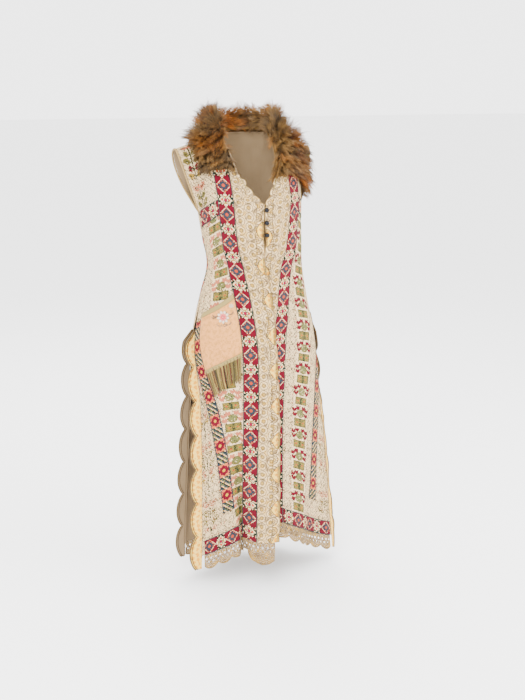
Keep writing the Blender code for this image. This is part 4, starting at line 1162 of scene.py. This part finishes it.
# The border down one side of a slit; on the wearer's right it turns out and stands away
def sideBorder(name, cloth, column, inward, node):
    last = hemRow + sideSet["drop"] / band
    rows, lengths = cloth.rowsAlong(column, slitRow, last, sideSet["spacing"])
    pitch = lengths[-1] / max(round(lengths[-1] / sideSet["pitch"]), 1)
    net, uv, edge, seam = [], [], [], []
    for row, length in zip(rows, lengths):
        out = sideSet["notch"] + scallopReach(length, pitch, sideSet["depth"])
        out = min(out, sideSet["least"] + (row - slitRow) * band * sideSet["rise"])
        held = min(row, hemRow)
        inside = sideSet["inside"]
        if column == side:
            inside = min(inside, read(cuts, cloth.at(column, held).z, "gore") - cut["seam"])
        start = cloth.down(column, row)
        outward = cloth.outward(column, held)
        onward = (cloth.at(column, held) - cloth.at(column + inward * 0.5, held)).normalized()
        onward = (onward - outward * onward.dot(outward)).normalized()
        flare = sideSet["flare"] if start.x < 0 else 0.0
        toward = (onward * (1.0 - flare) + Vector((-flare, 0.0, 0.0))).normalized()
        facing = Vector((-toward.y, toward.x, 0.0)).normalized()
        if facing.dot(outward - onward) < 0:
            facing.negate()
        lift, thick = sideSet["lift"], sideSet["thick"]
        bend = start + onward * (cut["seam"] + thick) + outward * lift
        raised = bend + (outward + facing).normalized() * thick
        cells = sideSet["cells"]
        flap = [bend + toward * (out * step / cells) + facing * thick for step in range(cells, 0, -1)]
        rest = [start - onward * (inside * step / 3) + outward * (lift + thick) for step in range(1, 4)]
        line = flap + [raised] + rest
        steps = [(b - a).length for a, b in zip(line, line[1:])]
        width = np.concatenate([[0.0], np.cumsum(steps)])
        net.append(line)
        uv.append([(w, length) for w in width])
        edge.append([(w, length) for w in width])
        seam.append(bend + toward * max(out - sideSet["seam"], out * 0.4) + facing * thick / 2)
    border = netPiece(name, net, uv, [printLook, liningLook], sideSet["thick"], edge=edge,
                      outward=fromMiddle, inside=1)
    ride(border, "print_cloth", node)
    cutSheet(border, net)
    parts = [cordPiece(name + "Piping", [line[0] for line in net], sideSet["piping"], pipingLook, 6),
             cordPiece(name + "Seam", seam, sideSet["cord"], brownPiping, 5)]
    ride(joined(name + "Piping", parts), "gold_braid")


sideBorder("sideBorderFrontRight", rightCloth, side, -1, "side_border_front_right")
sideBorder("sideBorderFrontLeft", leftCloth, side, -1, "side_border_front_left")
sideBorder("sideBorderBackRight", backCloth, -backSide, 1, "side_border_back_right")
sideBorder("sideBorderBackLeft", backCloth, backSide, -1, "side_border_back_left")

hemSet = dict(
    short=0.036, long=0.048, bandLong=0.066, bandTurn=0.16, pitch=0.048, eyelets=3, eyelet=0.0032,
    cell=0.0021, drops=24, eyeletDrop=0.015, nextDrop=0.011, wall=0.0010, sink=0.0005,
    margin=0.004)


def hemLace(name, cloth, first, last, node, bandColumns=None):
    fine = np.linspace(first, last, 300)
    points = [cloth.at(c, hemRow) for c in fine]
    walked = np.concatenate([[0.0], np.cumsum([(b - a).length for a, b in zip(points, points[1:])])])
    total = walked[-1]
    pitch = total / max(round(total / hemSet["pitch"]), 1)
    count, drops = int(total / hemSet["cell"]), hemSet["drops"]
    net, uv, edge = [[[] for step in range(drops + 1)] for part in range(3)]
    feet = []
    for stepAcross in range(count + 1):
        length = total * stepAcross / count
        column = float(np.interp(length, walked, fine))
        foot = hemSet["short"] + scallopReach(length, pitch, hemSet["long"] - hemSet["short"])
        if bandColumns and column <= bandColumns:
            turn = pi * min(column / bandColumns + hemSet["bandTurn"], 1.0)
            foot = mix(hemSet["short"], hemSet["bandLong"], math.sin(turn) ** 0.5)
        feet.append(foot)
        for step in range(drops + 1):
            drop = mix(cut["seam"], foot, step / drops)
            net[step].append(cloth.below(column, drop, -hemSet["sink"]))
            uv[step].append((drop, length))
            edge[step].append((foot - drop, length))

    def hole(row, column):
        length = total * (column + 0.5) / count
        drop = feet[column] * (row + 0.5) / drops
        if length < hemSet["margin"] or length > total - hemSet["margin"]:
            return False
        step = pitch / hemSet["eyelets"]
        near = math.hypot(((length / step) % 1.0 - 0.5) * step, drop - hemSet["eyeletDrop"])
        lower = ((length / step + 0.5) % 1.0 - 0.5) * step
        lower = math.hypot(lower, drop - hemSet["eyeletDrop"] - hemSet["nextDrop"])
        return near < hemSet["eyelet"] or lower < hemSet["eyelet"] * 0.75

    piece = netPiece(name, net, uv, [hemLaceLook], hemSet["wall"], edge=edge, outward=fromMiddle,
                     cutFace=hole)
    ride(piece, "lace", node)
    cutSheet(piece, net)


hemLace("hemLaceRight", rightCloth, 0.0, side - 0.35, "hem_lace_right", cut["tapeOut"])
hemLace("hemLaceLeft", leftCloth, 0.0, side - 0.35, "hem_lace_left")
hemLace("hemLaceBack", backCloth, -backSide + 0.3, backSide - 0.3, "hem_lace_back")

print("binding the armholes and the neck")
bindingSet = dict(radius=0.0027, away=0.0030, lift=-0.0006, neckRadius=0.0021)
for hand, cloth, backColumn in (("right", rightCloth, -backSide), ("left", leftCloth, backSide)):
    loop = []
    for panel, column, rows in ((cloth, side, np.linspace(armRow, 0.0, 44)),
                                (backCloth, backColumn, np.linspace(0.15, armRow - 0.15, 44))):
        for row in rows:
            edgePoint = panel.at(column, row)
            inner = panel.at(column - 0.5 if column > 0 else column + 0.5, row)
            out = panel.outward(column, row)
            away = (edgePoint - inner).normalized()
            loop.append(edgePoint + away * bindingSet["away"] + out * bindingSet["lift"])
    piece = cordPiece("armholeBinding" + hand.capitalize(), loop, bindingSet["radius"], bindingLook, 10, True)
    ride(piece, "gold_braid", "armhole_binding_" + hand)
    neckEdge = [cloth.at(0.06, row, 0.0022) for row in np.linspace(3.0, 4.9, 26)]
    neckBraid = cordPiece("neckBraid" + hand.capitalize(), neckEdge, bindingSet["neckRadius"], braidLook, 8)
    ride(neckBraid, "gold_braid")

print("making the pocket")
pocketSet = dict(top=11.0, foot=14.0, first=4.02, last=7.98, across=40, down=48, tilt=0.80, lift=0.0012,
                 wall=0.0016, puff=0.0032, ripple=0.0008, trim=0.016, trimRise=0.0014, trimCells=9,
                 trimWall=0.0010)


def slanted(column, row):
    return row + pocketSet["tilt"] * (column - 4.0) / 4.0


pocketColumns = np.linspace(pocketSet["first"], pocketSet["last"], pocketSet["across"] + 1)
pocketRows = np.linspace(pocketSet["top"], pocketSet["foot"], pocketSet["down"] + 1)
pocketNet = []
for j, row in enumerate(pocketRows):
    line = []
    for i, column in enumerate(pocketColumns):
        bulge = math.sin(pi * i / pocketSet["across"]), math.sin(pi * j / pocketSet["down"])
        rise = math.sqrt(bulge[0]) * math.sqrt(bulge[1]) * pocketSet["puff"]
        ripple = noise.noise(Vector((column * 3.0, row * 3.0, 4.0))) * pocketSet["ripple"]
        lift = pocketSet["lift"] + pocketSet["wall"] + max(rise + ripple, 0.0)
        line.append(rightCloth.at(column, slanted(column, row), lift))
    pocketNet.append(line)
pocketNet = np.array([[list(point) for point in line] for line in pocketNet])
pocketUv = np.stack([walkedAcross(pocketNet), walkedDown(pocketNet)], axis=2)
pocket = netPiece("brocadePocket", pocketNet, pocketUv, [brocadeLook], pocketSet["wall"], outward=fromMiddle)
ride(pocket, "brocade", "pocket")
cutSheet(pocket, pocketNet)

rowLength = (rightCloth.at(4, 12) - rightCloth.at(4, 11)).length
trimNet = []
for j in range(pocketSet["trimCells"] + 1):
    share = j / pocketSet["trimCells"]
    row = pocketSet["top"] + (share - 0.5) * pocketSet["trim"] / rowLength
    lift = pocketSet["lift"] + pocketSet["wall"] + cut["seam"] + pocketSet["trimWall"]
    lift += math.sin(pi * share) ** 0.5 * pocketSet["trimRise"]
    trimNet.append([list(rightCloth.at(column, slanted(column, row), lift)) for column in pocketColumns])
trimNet = np.array(trimNet)
trimUv = np.stack([walkedAcross(trimNet), walkedDown(trimNet)], axis=2)
trim = netPiece("pocketTrim", trimNet, trimUv, [braidLook], pocketSet["trimWall"], outward=fromMiddle)
ride(trim, "gold_braid", "pocket_trim")
cutSheet(trim, trimNet)

print("hanging the fringe")
fringeSet = dict(strands=46, steps=22, first=4.12, last=7.88, head=0.14, length=0.072, lift=0.0048,
                 radius=0.00135, seed=11, headingRows=(13.83, 14.03), headingLift=0.0062,
                 headingWall=0.0012)
dice = np.random.default_rng(fringeSet["seed"])
threadTones = ((0.22, 0.150, 0.030), (0.12, 0.088, 0.020), (0.36, 0.24, 0.055), (0.085, 0.010, 0.008),
               (0.050, 0.034, 0.012))
paths, radii, tones = [], [], []
for strand in range(fringeSet["strands"]):
    column = mix(fringeSet["first"], fringeSet["last"], (strand + 0.5) / fringeSet["strands"])
    reach = fringeSet["length"] * dice.uniform(0.90, 1.03)
    sway = dice.normal(0.0, 0.05)
    tone = np.array(threadTones[int(dice.choice(5, p=[0.34, 0.24, 0.16, 0.14, 0.12]))])
    path = []
    for step in range(fringeSet["steps"] + 1):
        share = step / fringeSet["steps"]
        row = slanted(column, pocketSet["foot"] - fringeSet["head"] * (1.0 - share))
        row += reach / rowLength * share
        wave = 0.0008 * math.sin(share * 7.0 + strand * 1.7)
        path.append(rightCloth.at(column + sway * share ** 1.5, row, fringeSet["lift"] + wave))
    paths.append([list(point) for point in path])
    swell = 1.0 + 0.14 * np.cos(np.arange(fringeSet["steps"] + 1) * 2.4 + strand)
    swell[0] = swell[-1] = 0.55
    radii.append(fringeSet["radius"] * swell)
    tones.append(np.repeat(tone[None], fringeSet["steps"] + 1, axis=0) * dice.uniform(0.8, 1.2))
fringe = tubes("bullionFringe", np.array(paths), np.array(radii), np.array(tones), bullionLook, 6)
ride(fringe, "gold_braid", "pocket_fringe")
heading = []
for row in np.linspace(*fringeSet["headingRows"], 5):
    line = [rightCloth.at(column, slanted(column, row), fringeSet["headingLift"]) for column in pocketColumns]
    heading.append([list(point) for point in line])
heading = np.array(heading)
headingUv = np.stack([walkedAcross(heading), walkedDown(heading)], axis=2)
headingPiece = netPiece("fringeHeading", heading, headingUv, [braidLook], fringeSet["headingWall"],
                        outward=fromMiddle)
ride(headingPiece, "gold_braid")

print("sewing on the beads")
flowerSet = dict(lift=0.0058, lower=0.0010, column=5.5, row=11.95, nextColumn=4.5, nextRow=11.45, seed=5)


# A place on the pocket as a frame: across, down and out from the cloth
def pocketFrame(column, row, lift):
    here = rightCloth.at(column, row, lift)
    across = (rightCloth.at(column + 0.2, row, lift) - here).normalized()
    out = rightCloth.outward(column, row)
    down = out.cross(across).normalized()
    if down.z > 0:
        down.negate()
    matrix = Matrix.Identity(4)
    for axis, direction in enumerate((across, down, out)):
        for part in range(3):
            matrix[part][axis] = direction[part]
    matrix.translation = here
    return matrix


# Beads and petals in one piece: each row is x, y, size x, size y, height, turn and tone, in metres
def beadPiece(name, place, rows, node=None):
    shape = bmesh.new()
    tone = shape.verts.layers.float_color.new("tone")
    for x, y, sizeX, sizeY, rise, turn, color in rows:
        if sizeX > 0.0016:
            made = bmesh.ops.create_uvsphere(shape, u_segments=10, v_segments=6, radius=1.0)["verts"]
        else:
            made = bmesh.ops.create_icosphere(shape, subdivisions=1, radius=1.0)["verts"]
        size = Matrix.Diagonal((sizeX, sizeY, rise, 1.0))
        spin = Matrix.Rotation(turn, 4, "Z")
        bmesh.ops.transform(shape, matrix=place @ Matrix.Translation((x, y, 0.0)) @ spin @ size, verts=made)
        for vertex in made:
            vertex[tone] = (*color, 1.0)
    bmesh.ops.recalc_face_normals(shape, faces=shape.faces)
    shape.loops.layers.uv.new("cloth")
    piece = finished(name, shape, [beadLook])
    return ride(piece, "lace", *([node] if node else []))


dice = np.random.default_rng(flowerSet["seed"])
rows = []
for ringCount, reach, long, wide, color in ((9, 0.0130, 0.0054, 0.0040, (0.50, 0.40, 0.30)),
                                            (8, 0.0082, 0.0046, 0.0034, (0.55, 0.11, 0.09)),
                                            (5, 0.0038, 0.0032, 0.0026, (0.46, 0.045, 0.055))):
    for index in range(ringCount):
        turn = 2 * pi * index / ringCount + reach * 60.0
        rise = 0.0016 + (0.0130 - reach) * 0.12
        rows.append((math.cos(turn) * reach, math.sin(turn) * reach, long, wide, rise, turn, color))
rows.append((0.0, 0.0, 0.0022, 0.0022, 0.0034, 0.0, (0.60, 0.30, 0.20)))
place = pocketFrame(flowerSet["column"], flowerSet["row"], flowerSet["lift"])
beadPiece("pinkBeadFlower", place, rows, "pocket_flower_1")
rows = [(0.0, 0.0, 0.0030, 0.0024, 0.0018, 0.0, (0.46, 0.34, 0.24))]
for index in range(7):
    turn = 2 * pi * index / 7
    rows.append((math.cos(turn) * 0.0052, math.sin(turn) * 0.0045, 0.0026, 0.0018, 0.0013, turn,
                 (0.50, 0.36, 0.24)))
lift = flowerSet["lift"] - flowerSet["lower"]
place = pocketFrame(flowerSet["nextColumn"], flowerSet["nextRow"], lift)
beadPiece("paleBeadFlower", place, rows, "pocket_flower_2")
rows = []
for centre, drop, spread in ((-0.021, -0.012, 0.010), (-0.010, 0.016, 0.011), (0.010, 0.017, 0.011),
                             (0.021, -0.010, 0.009), (0.0, 0.021, 0.008), (0.027, -0.004, 0.006)):
    for index in range(17):
        turn = pi * index / 16
        size = dice.uniform(0.0010, 0.0015)
        color = np.array((0.060, 0.045, 0.034)) * dice.uniform(0.6, 2.6)
        x, y = centre + math.cos(turn) * spread, drop + math.sin(turn) * spread * 0.7
        rows.append((x, y, size, size, size, 0.0, tuple(color)))
beadPiece("beadSwags", pocketFrame(flowerSet["column"], flowerSet["row"], lift), rows)

print("setting the buttons")
buttonSet = dict(heights=(-0.205, -0.240, -0.275), radius=0.0068, out=0.004, shankTop=0.0024,
                 shankFoot=0.0018, shank=0.0024, loopRadius=0.0006, loopReach=0.0052, loopEnd=0.012,
                 loopHalf=0.0014)
for number, height in enumerate(buttonSet["heights"], start=1):
    candidates = np.linspace(0, hemRow, 960)
    row = float(min(candidates, key=lambda spot: abs(leftCloth.at(0, spot).z - height)))
    lift = laceSet["lift"] + laceSet["thick"] + cut["seam"] + buttonSet["radius"]
    centre = leftCloth.beyond(0, row, 0.5, -buttonSet["out"], lift)
    out = leftCloth.outward(0, row)
    shape = bmesh.new()
    bmesh.ops.create_uvsphere(shape, u_segments=28, v_segments=18, radius=buttonSet["radius"])
    for vertex in shape.verts:
        if vertex.co.z > buttonSet["radius"] * 0.55:
            vertex.co.z = mix(vertex.co.z, buttonSet["radius"] * 0.80, 0.5)
    shank = bmesh.ops.create_cone(
        shape, cap_ends=True, segments=12, radius1=buttonSet["shankTop"], radius2=buttonSet["shankFoot"],
        depth=buttonSet["shank"])["verts"]
    bmesh.ops.translate(shape, verts=shank, vec=(0.0, 0.0, -buttonSet["radius"] - 0.0002))
    shape.loops.layers.uv.new("cloth")
    facing = Matrix.Translation(centre) @ out.to_track_quat("Z", "Y").to_matrix().to_4x4()
    bmesh.ops.transform(shape, matrix=facing, verts=shape.verts)
    button = finished(f"ballButton{number}", shape, [buttonLook])
    ride(button, "button_gloss", f"button_{number}")
    foot = centre - out * (buttonSet["radius"] - 0.0012)
    across = (leftCloth.at(0.5, row) - leftCloth.at(0.0, row)).normalized()
    up = out.cross(across).normalized()
    loop = []
    for step in range(15):
        turn = mix(-0.75 * pi, 0.75 * pi, step / 14)
        loop.append(foot + (across * math.cos(turn) + up * math.sin(turn)) * buttonSet["loopReach"])
    end, half = foot - across * buttonSet["loopEnd"], up * buttonSet["loopHalf"]
    ends = [end + half, end - half]
    loop = [ends[1]] + loop + [ends[0]]
    ride(cordPiece(f"buttonLoop{number}", loop, buttonSet["loopRadius"], brownPiping, 6), "gold_braid")

print("growing the fur")
lapelRight = ((3.7, 3.7, 5.2, 0.012), (3.4, 3.5, 6.0, 0.026), (3.0, 3.2, 6.6, 0.036), (2.5, 2.7, 7.0, 0.043),
              (2.0, 2.2, 7.3, 0.049), (1.5, 1.6, 7.3, 0.055), (1.0, 1.1, 7.0, 0.061), (0.5, 0.5, 6.8, 0.067),
              (0.0, 0.0, 6.6, 0.070))  # row at the neck, row outside, column outside, height
lapelLeft = ((4.2, 5.3, 10.6, 0.012), (4.0, 5.0, 11.0, 0.028), (3.5, 4.3, 11.2, 0.038),
             (3.0, 3.6, 10.9, 0.044), (2.5, 2.9, 10.4, 0.049), (2.0, 2.2, 9.6, 0.054), (1.5, 1.6, 8.8, 0.058),
             (1.0, 1.1, 8.0, 0.062), (0.5, 0.5, 7.5, 0.067), (0.0, 0.0, 7.2, 0.070))
nape = ((2.8, -0.2, 6.3, 0.8, 0.071), (2.5, -0.4, 5.2, 1.8, 0.071), (1.8, -0.5, 3.4, 2.5, 0.070),
        (0.9, -0.5, 1.6, 2.8, 0.069))  # column and row at the neck, column and row outside, height
furSet = dict(
    shape=(0.35, 0.95, 1.00, 0.88, 0.64, 0.38, 0.08), upright=0.6, lapelLift=0.0036, napeLift=0.0065,
    widths=25, stations=190, strands=6600, clumps=380, hair=0.041, sink=0.024, radius=0.00057, steps=5,
    seed=3, footRow=0.25, footLift=0.0030, wall=0.0020, pull=0.56, guards=0.09)


def furStation(cloth, spots, height, lift):
    shares = np.linspace(0.0, 1.0, furSet["widths"])
    raised = np.interp(shares, np.linspace(0.0, 1.0, 7), furSet["shape"]) * height
    low, high = [], []
    footColumn, footRow = spots[0]
    foot = list(cloth.at(footColumn, max(footRow, furSet["footRow"]), furSet["footLift"]))
    for (column, row), rise in zip(spots, raised):
        column = min(column, side) if cloth.first == 0 else column
        point = cloth.at(column, row, lift)
        out = cloth.outward(max(column, cloth.first), max(row, 0.0))
        upward = (out + Vector((0.0, 0.0, furSet["upright"]))).normalized()
        low.append(list(point))
        high.append(list(point + upward * rise))
    return low, high, foot


furShares = np.linspace(0.0, 1.0, furSet["widths"])
stations = []
for cloth, rows in ((rightCloth, lapelRight), (leftCloth, lapelLeft[::-1])):
    lapel = []
    for neckRow, outerRow, outerColumn, height in rows:
        marks = (-1.0, 0.0, 1.0, 2.0, 4.0, mix(4.0, outerColumn, 0.5), outerColumn)
        columns = np.interp(furShares, np.linspace(0.0, 1.0, 7), marks)
        spots = [(c, mix(neckRow, outerRow, max(c - 2.0, 0.0) / (outerColumn - 2.0))) for c in columns]
        lapel.append(furStation(cloth, spots, height, furSet["lapelLift"]))
    if cloth is leftCloth:
        for hand, rows in ((-1, nape), (1, ((0.0, -0.5, 0.0, 2.9, 0.069),)), (1, nape[::-1])):
            for neckColumn, neckRow, outerColumn, outerRow, height in rows:
                spots = [(hand * mix(neckColumn, outerColumn, share), mix(neckRow, outerRow, share))
                         for share in furShares]
                stations.append(furStation(backCloth, spots, height, furSet["napeLift"]))
    stations += lapel
furLow, furHigh, furFoot = [np.array([station[part] for station in stations]) for part in range(3)]
marks = np.linspace(0, len(stations) - 1, furSet["stations"])


# Softened reading of the stations at even steps round the collar
def refined(values):
    out = np.empty((furSet["stations"],) + values.shape[1:])
    for index, mark in enumerate(marks):
        low = int(min(mark, len(values) - 2))
        share = mark - low
        out[index] = values[low] * (1 - share) + values[low + 1] * share
    for turn in range(3):
        out[1:-1] = (out[:-2] + out[1:-1] * 2 + out[2:]) / 4
    return out


furLow, furHigh, furFoot = refined(furLow), refined(furHigh), refined(furFoot)
furHeight = np.linalg.norm(furHigh - furLow, axis=2)
furRise = (furHigh - furLow) / (furHeight[:, :, None] + 1e-9)
hideHeight = np.maximum(furHeight - furSet["sink"], furHeight * 0.22)
hide = furLow + furRise * hideHeight[:, :, None]
furAcross = np.gradient(furHigh, axis=1)
furAlong = np.gradient(furHigh, axis=0)
for field in (furAcross, furAlong):
    field /= np.linalg.norm(field, axis=2, keepdims=True) + 1e-12
around = np.linspace(-1.0, 1.0, furSet["stations"])
furPaces = np.linalg.norm(np.diff(furHigh, axis=0), axis=2).max(axis=1)
furGone = np.concatenate([[0.0], np.cumsum(furPaces)])
flow = np.sign(around) * np.clip((np.abs(around) - 0.52) / 0.22, -0.8, 1.0)


# Values of a field of the collar at fractional stations and widths
def sampled(field, stationSpots, widthSpots):
    s = np.clip(stationSpots, 0, field.shape[0] - 1.001)
    w = np.clip(widthSpots, 0, field.shape[1] - 1.001)
    i, j = s.astype(int), w.astype(int)
    a, b = s - i, w - j
    if field.ndim == 3:
        a, b = a[:, None], b[:, None]
    return (field[i, j] * (1 - a) * (1 - b) + field[i, j + 1] * (1 - a) * b
            + field[i + 1, j] * a * (1 - b) + field[i + 1, j + 1] * a * b)


# Roots, directions and lengths of hairs at the given places of the collar
def hairAt(stationSpots, shareSpots, luck):
    widthSpots = shareSpots * (furSet["widths"] - 1)
    root = sampled(hide, stationSpots, widthSpots)
    out = sampled(furRise, stationSpots, widthSpots)
    across = sampled(furAcross, stationSpots, widthSpots)
    along = sampled(furAlong, stationSpots, widthSpots)
    spread = (shareSpots - 0.42) * 2.0
    onward = np.interp(stationSpots, np.arange(furSet["stations"]), flow)
    way = out * (0.72 - np.abs(spread) * 0.25)[:, None] + across * spread[:, None] * 0.85
    way = way + along * (onward * 0.80)[:, None] + luck * 0.26
    way[:, 2] -= 0.10 + 0.35 * np.clip((0.10 - shareSpots) / 0.10, 0.0, 1.0)
    short = np.clip(0.25 - (way * out).sum(axis=1), 0.0, None) * (shareSpots > 0.15)
    way += out * short[:, None]
    way /= np.linalg.norm(way, axis=1, keepdims=True)
    return root, out, way


dice = np.random.default_rng(furSet["seed"])
hairTones = dict(rust=(0.25, 0.072, 0.006), tan=(0.18, 0.098, 0.030), grey=(0.090, 0.064, 0.040),
                 dark=(0.018, 0.009, 0.004), black=(0.004, 0.0028, 0.0020), gold=(0.36, 0.165, 0.030))
hairTones = {name: np.array(tone) for name, tone in hairTones.items()}


# Stations drawn so that every length of the collar gets the same share of hair
def evenSpots(firstStation, lastStation, count):
    stops = np.linspace(firstStation, lastStation, 200)
    gone = np.interp(stops, np.arange(len(furGone)), furGone)
    return np.interp(dice.uniform(gone[0], gone[-1], count), gone, stops)


def furPatch(name, firstStation, lastStation):
    count, clumps = furSet["strands"], furSet["clumps"]
    spots = evenSpots(firstStation, lastStation, count)
    shares = np.where(dice.uniform(0.0, 1.0, count) < 0.08, dice.uniform(0.0, 0.05, count),
                      dice.uniform(0.02, 0.95, count))
    clumpSpots = evenSpots(firstStation, lastStation, clumps)
    clumpShares = dice.uniform(0.02, 0.95, clumps)
    nearness = ((spots[:, None] - clumpSpots) * 0.022) ** 2 + ((shares[:, None] - clumpShares) * 0.9) ** 2
    leader = nearness.argmin(axis=1)
    clumpLuck = dice.normal(0.0, 1.0, (clumps, 3))
    root, out, way = hairAt(spots, shares, clumpLuck[leader] + dice.normal(0.0, 0.45, (count, 3)))
    leadRoot, leadWay = hairAt(clumpSpots, clumpShares, clumpLuck)[::2]
    edge = 1.0 - 0.22 * np.clip((shares - 0.75) / 0.20, 0.0, 1.0)
    edge -= 0.30 * np.clip((0.20 - shares) / 0.15, 0.0, 1.0)
    ends = 1.0 - 0.35 * np.clip((np.abs(np.interp(spots, np.arange(len(around)), around)) - 0.90) / 0.1, 0, 1)
    length = furSet["hair"] * edge * ends * dice.uniform(0.68, 1.20, count)
    clumpLength = furSet["hair"] * dice.uniform(0.75, 1.30, clumps)[leader] * edge * ends
    guard = dice.uniform(0.0, 1.0, count) < furSet["guards"]
    length = np.where(guard, length * 1.30, length)
    tip = root + way * length[:, None]
    leadTip = leadRoot[leader] + leadWay[leader] * clumpLength[:, None]
    pull = np.where(guard, 0.12, furSet["pull"])[:, None]
    tip = tip * (1.0 - pull) + (leadTip + (root - leadRoot[leader]) * 0.15) * pull
    steps = np.linspace(0.0, 1.0, furSet["steps"])
    paths = root[:, None] + (tip - root)[:, None] * steps[:, None]
    paths += out[:, None] * (length[:, None, None] * 0.42 * (steps * (1 - steps))[:, None])
    radii = furSet["radius"] * dice.uniform(0.7, 1.3, count)[:, None] * (1.0 - steps) ** 0.75
    place = np.interp(spots, np.arange(len(around)), around)
    region = np.array([noise.noise(Vector(point) * 21.0) for point in leadRoot])[leader]
    shifted = leadRoot * 34.0 + np.array([7.0, 3.0, 1.0])
    blotch = np.array([noise.noise(Vector(point)) for point in shifted])[leader]
    middle = np.exp(-((shares - 0.42) / 0.20) ** 2)
    whorl = middle * np.exp(-((np.abs(place) - 0.52) / 0.12) ** 2)
    rust = np.clip(0.55 + region * 1.8 - middle * 0.35, 0.0, 1.0)[:, None]
    grey = np.clip(0.25 + blotch * 1.5 + middle * 0.35, 0.0, 1.0)[:, None]
    body = hairTones["tan"] * (1 - rust) + hairTones["rust"] * rust
    body = body * (1 - grey * 0.65) + hairTones["grey"] * grey * 0.65
    body = body * (1.0 - 0.78 * whorl[:, None])
    body *= dice.uniform(0.75, 1.25, count)[:, None] * dice.uniform(0.55, 1.40, clumps)[leader][:, None]
    darkShare = 0.32 + 0.6 * guard + 0.36 * (shares > 0.72) + 0.25 * (blotch > 0.12)
    darkTip = dice.uniform(0.0, 1.0, count) < darkShare
    tipTone = np.where(darkTip[:, None], hairTones["black"], hairTones["gold"] * 0.5 + body * 0.8)
    rootTone = body * 0.35 + hairTones["dark"] * 0.65
    tones = np.stack([rootTone, body * 0.62, body, body * 0.6 + tipTone * 0.4, tipTone], axis=1)
    ride(tubes(name, paths, radii, tones, furLook, 3), "fur")


last = furSet["stations"] - 1
inner, outer = furLow[:, :1], furLow[:, -1:]
raisedHide = np.concatenate([furFoot[:, None], inner, hide, outer], axis=1)
flatHide = np.concatenate([furFoot[:, None], inner, furLow, outer], axis=1)
closing = np.concatenate([flatHide[:1], raisedHide, flatHide[-1:]], axis=0)
closingUv = np.stack([walkedAcross(closing), walkedDown(closing)], axis=2)
ground = netPiece("furGround", closing, closingUv, [hideLook], furSet["wall"],
                  outward=lambda point: Vector((0, 0, 1)))
tone = ground.data.attributes.new("tone", "FLOAT_COLOR", "POINT")
for index, vertex in enumerate(ground.data.vertices):
    share = 1.8 if index % closing.shape[1] < 2 else noise.noise(vertex.co * 60.0) * 0.5 + 0.5
    tone.data[index].color = (*(hairTones["dark"] * (1 - share * 0.5) + hairTones["tan"] * share * 0.35), 1.0)
ride(ground, "fur", "fur_collar")
furPatch("furLapelRight", 0.0, last * 0.36)
furPatch("furNape", last * 0.34, last * 0.62)
furPatch("furLapelLeft", last * 0.60, last)

print("setting the camera and lights")
view = dict(azimuth=-22.0, distance=3.2, aside=0.06, height=0.145, lookHeight=-0.635, focal=1110.0,
            picture=700.0)
turn = math.radians(view["azimuth"])
eye = Vector((math.sin(turn) * view["distance"] + view["aside"], -math.cos(turn) * view["distance"],
              view["height"]))
target = Vector((view["aside"], 0.0, view["lookHeight"]))
camera = bpy.data.objects.new("camera", bpy.data.cameras.new("camera"))
camera.data.sensor_fit = "VERTICAL"
camera.data.sensor_height = 24.0
camera.data.lens = view["focal"] * camera.data.sensor_height / view["picture"]
camera.location = eye
camera.rotation_mode = "QUATERNION"
camera.rotation_quaternion = (target - eye).to_track_quat("-Z", "Y")
bpy.context.scene.collection.objects.link(camera)
bpy.context.scene.camera = camera

studio = dict(strength=3.9, aim=(0.03, 0.0, -0.55), floorHeight=-1.33, floorSize=40.0, floorTone=0.86)
lightSet = dict(key=(-1.6, -2.4, 1.4, 1.8, 210.0), fill=(2.2, -1.8, 0.6, 2.2, 115.0),
                rear=(0.4, 2.4, 1.6, 2.0, 105.0))
for title, (x, y, z, size, power) in lightSet.items():
    lamp = bpy.data.lights.new(title, "AREA")
    lamp.energy, lamp.size = power, size
    item = bpy.data.objects.new(title, lamp)
    item.location = (x, y, z)
    item.rotation_mode = "QUATERNION"
    item.rotation_quaternion = (Vector(studio["aim"]) - item.location).to_track_quat("-Z", "Y")
    bpy.context.scene.collection.objects.link(item)
world = bpy.data.worlds.new("studio")
world.use_nodes = True
world.node_tree.nodes["Background"].inputs["Color"].default_value = (1.0, 1.0, 1.0, 1.0)
world.node_tree.nodes["Background"].inputs["Strength"].default_value = studio["strength"]
bpy.context.scene.world = world

floorShape = bmesh.new()
bmesh.ops.create_grid(floorShape, x_segments=1, y_segments=1, size=studio["floorSize"])
bmesh.ops.translate(floorShape, verts=floorShape.verts, vec=(0.0, 0.0, studio["floorHeight"]))
floorMesh = bpy.data.meshes.new("floor")
floorShape.to_mesh(floorMesh)
floorShape.free()
floorLook = Look("paleFloor", 0.9)
floorLook.set("Base Color", (studio["floorTone"],) * 3)
floorMesh.materials.append(floorLook.material)
floor = bpy.data.objects.new("floor", floorMesh)
bpy.context.scene.collection.objects.link(floor)
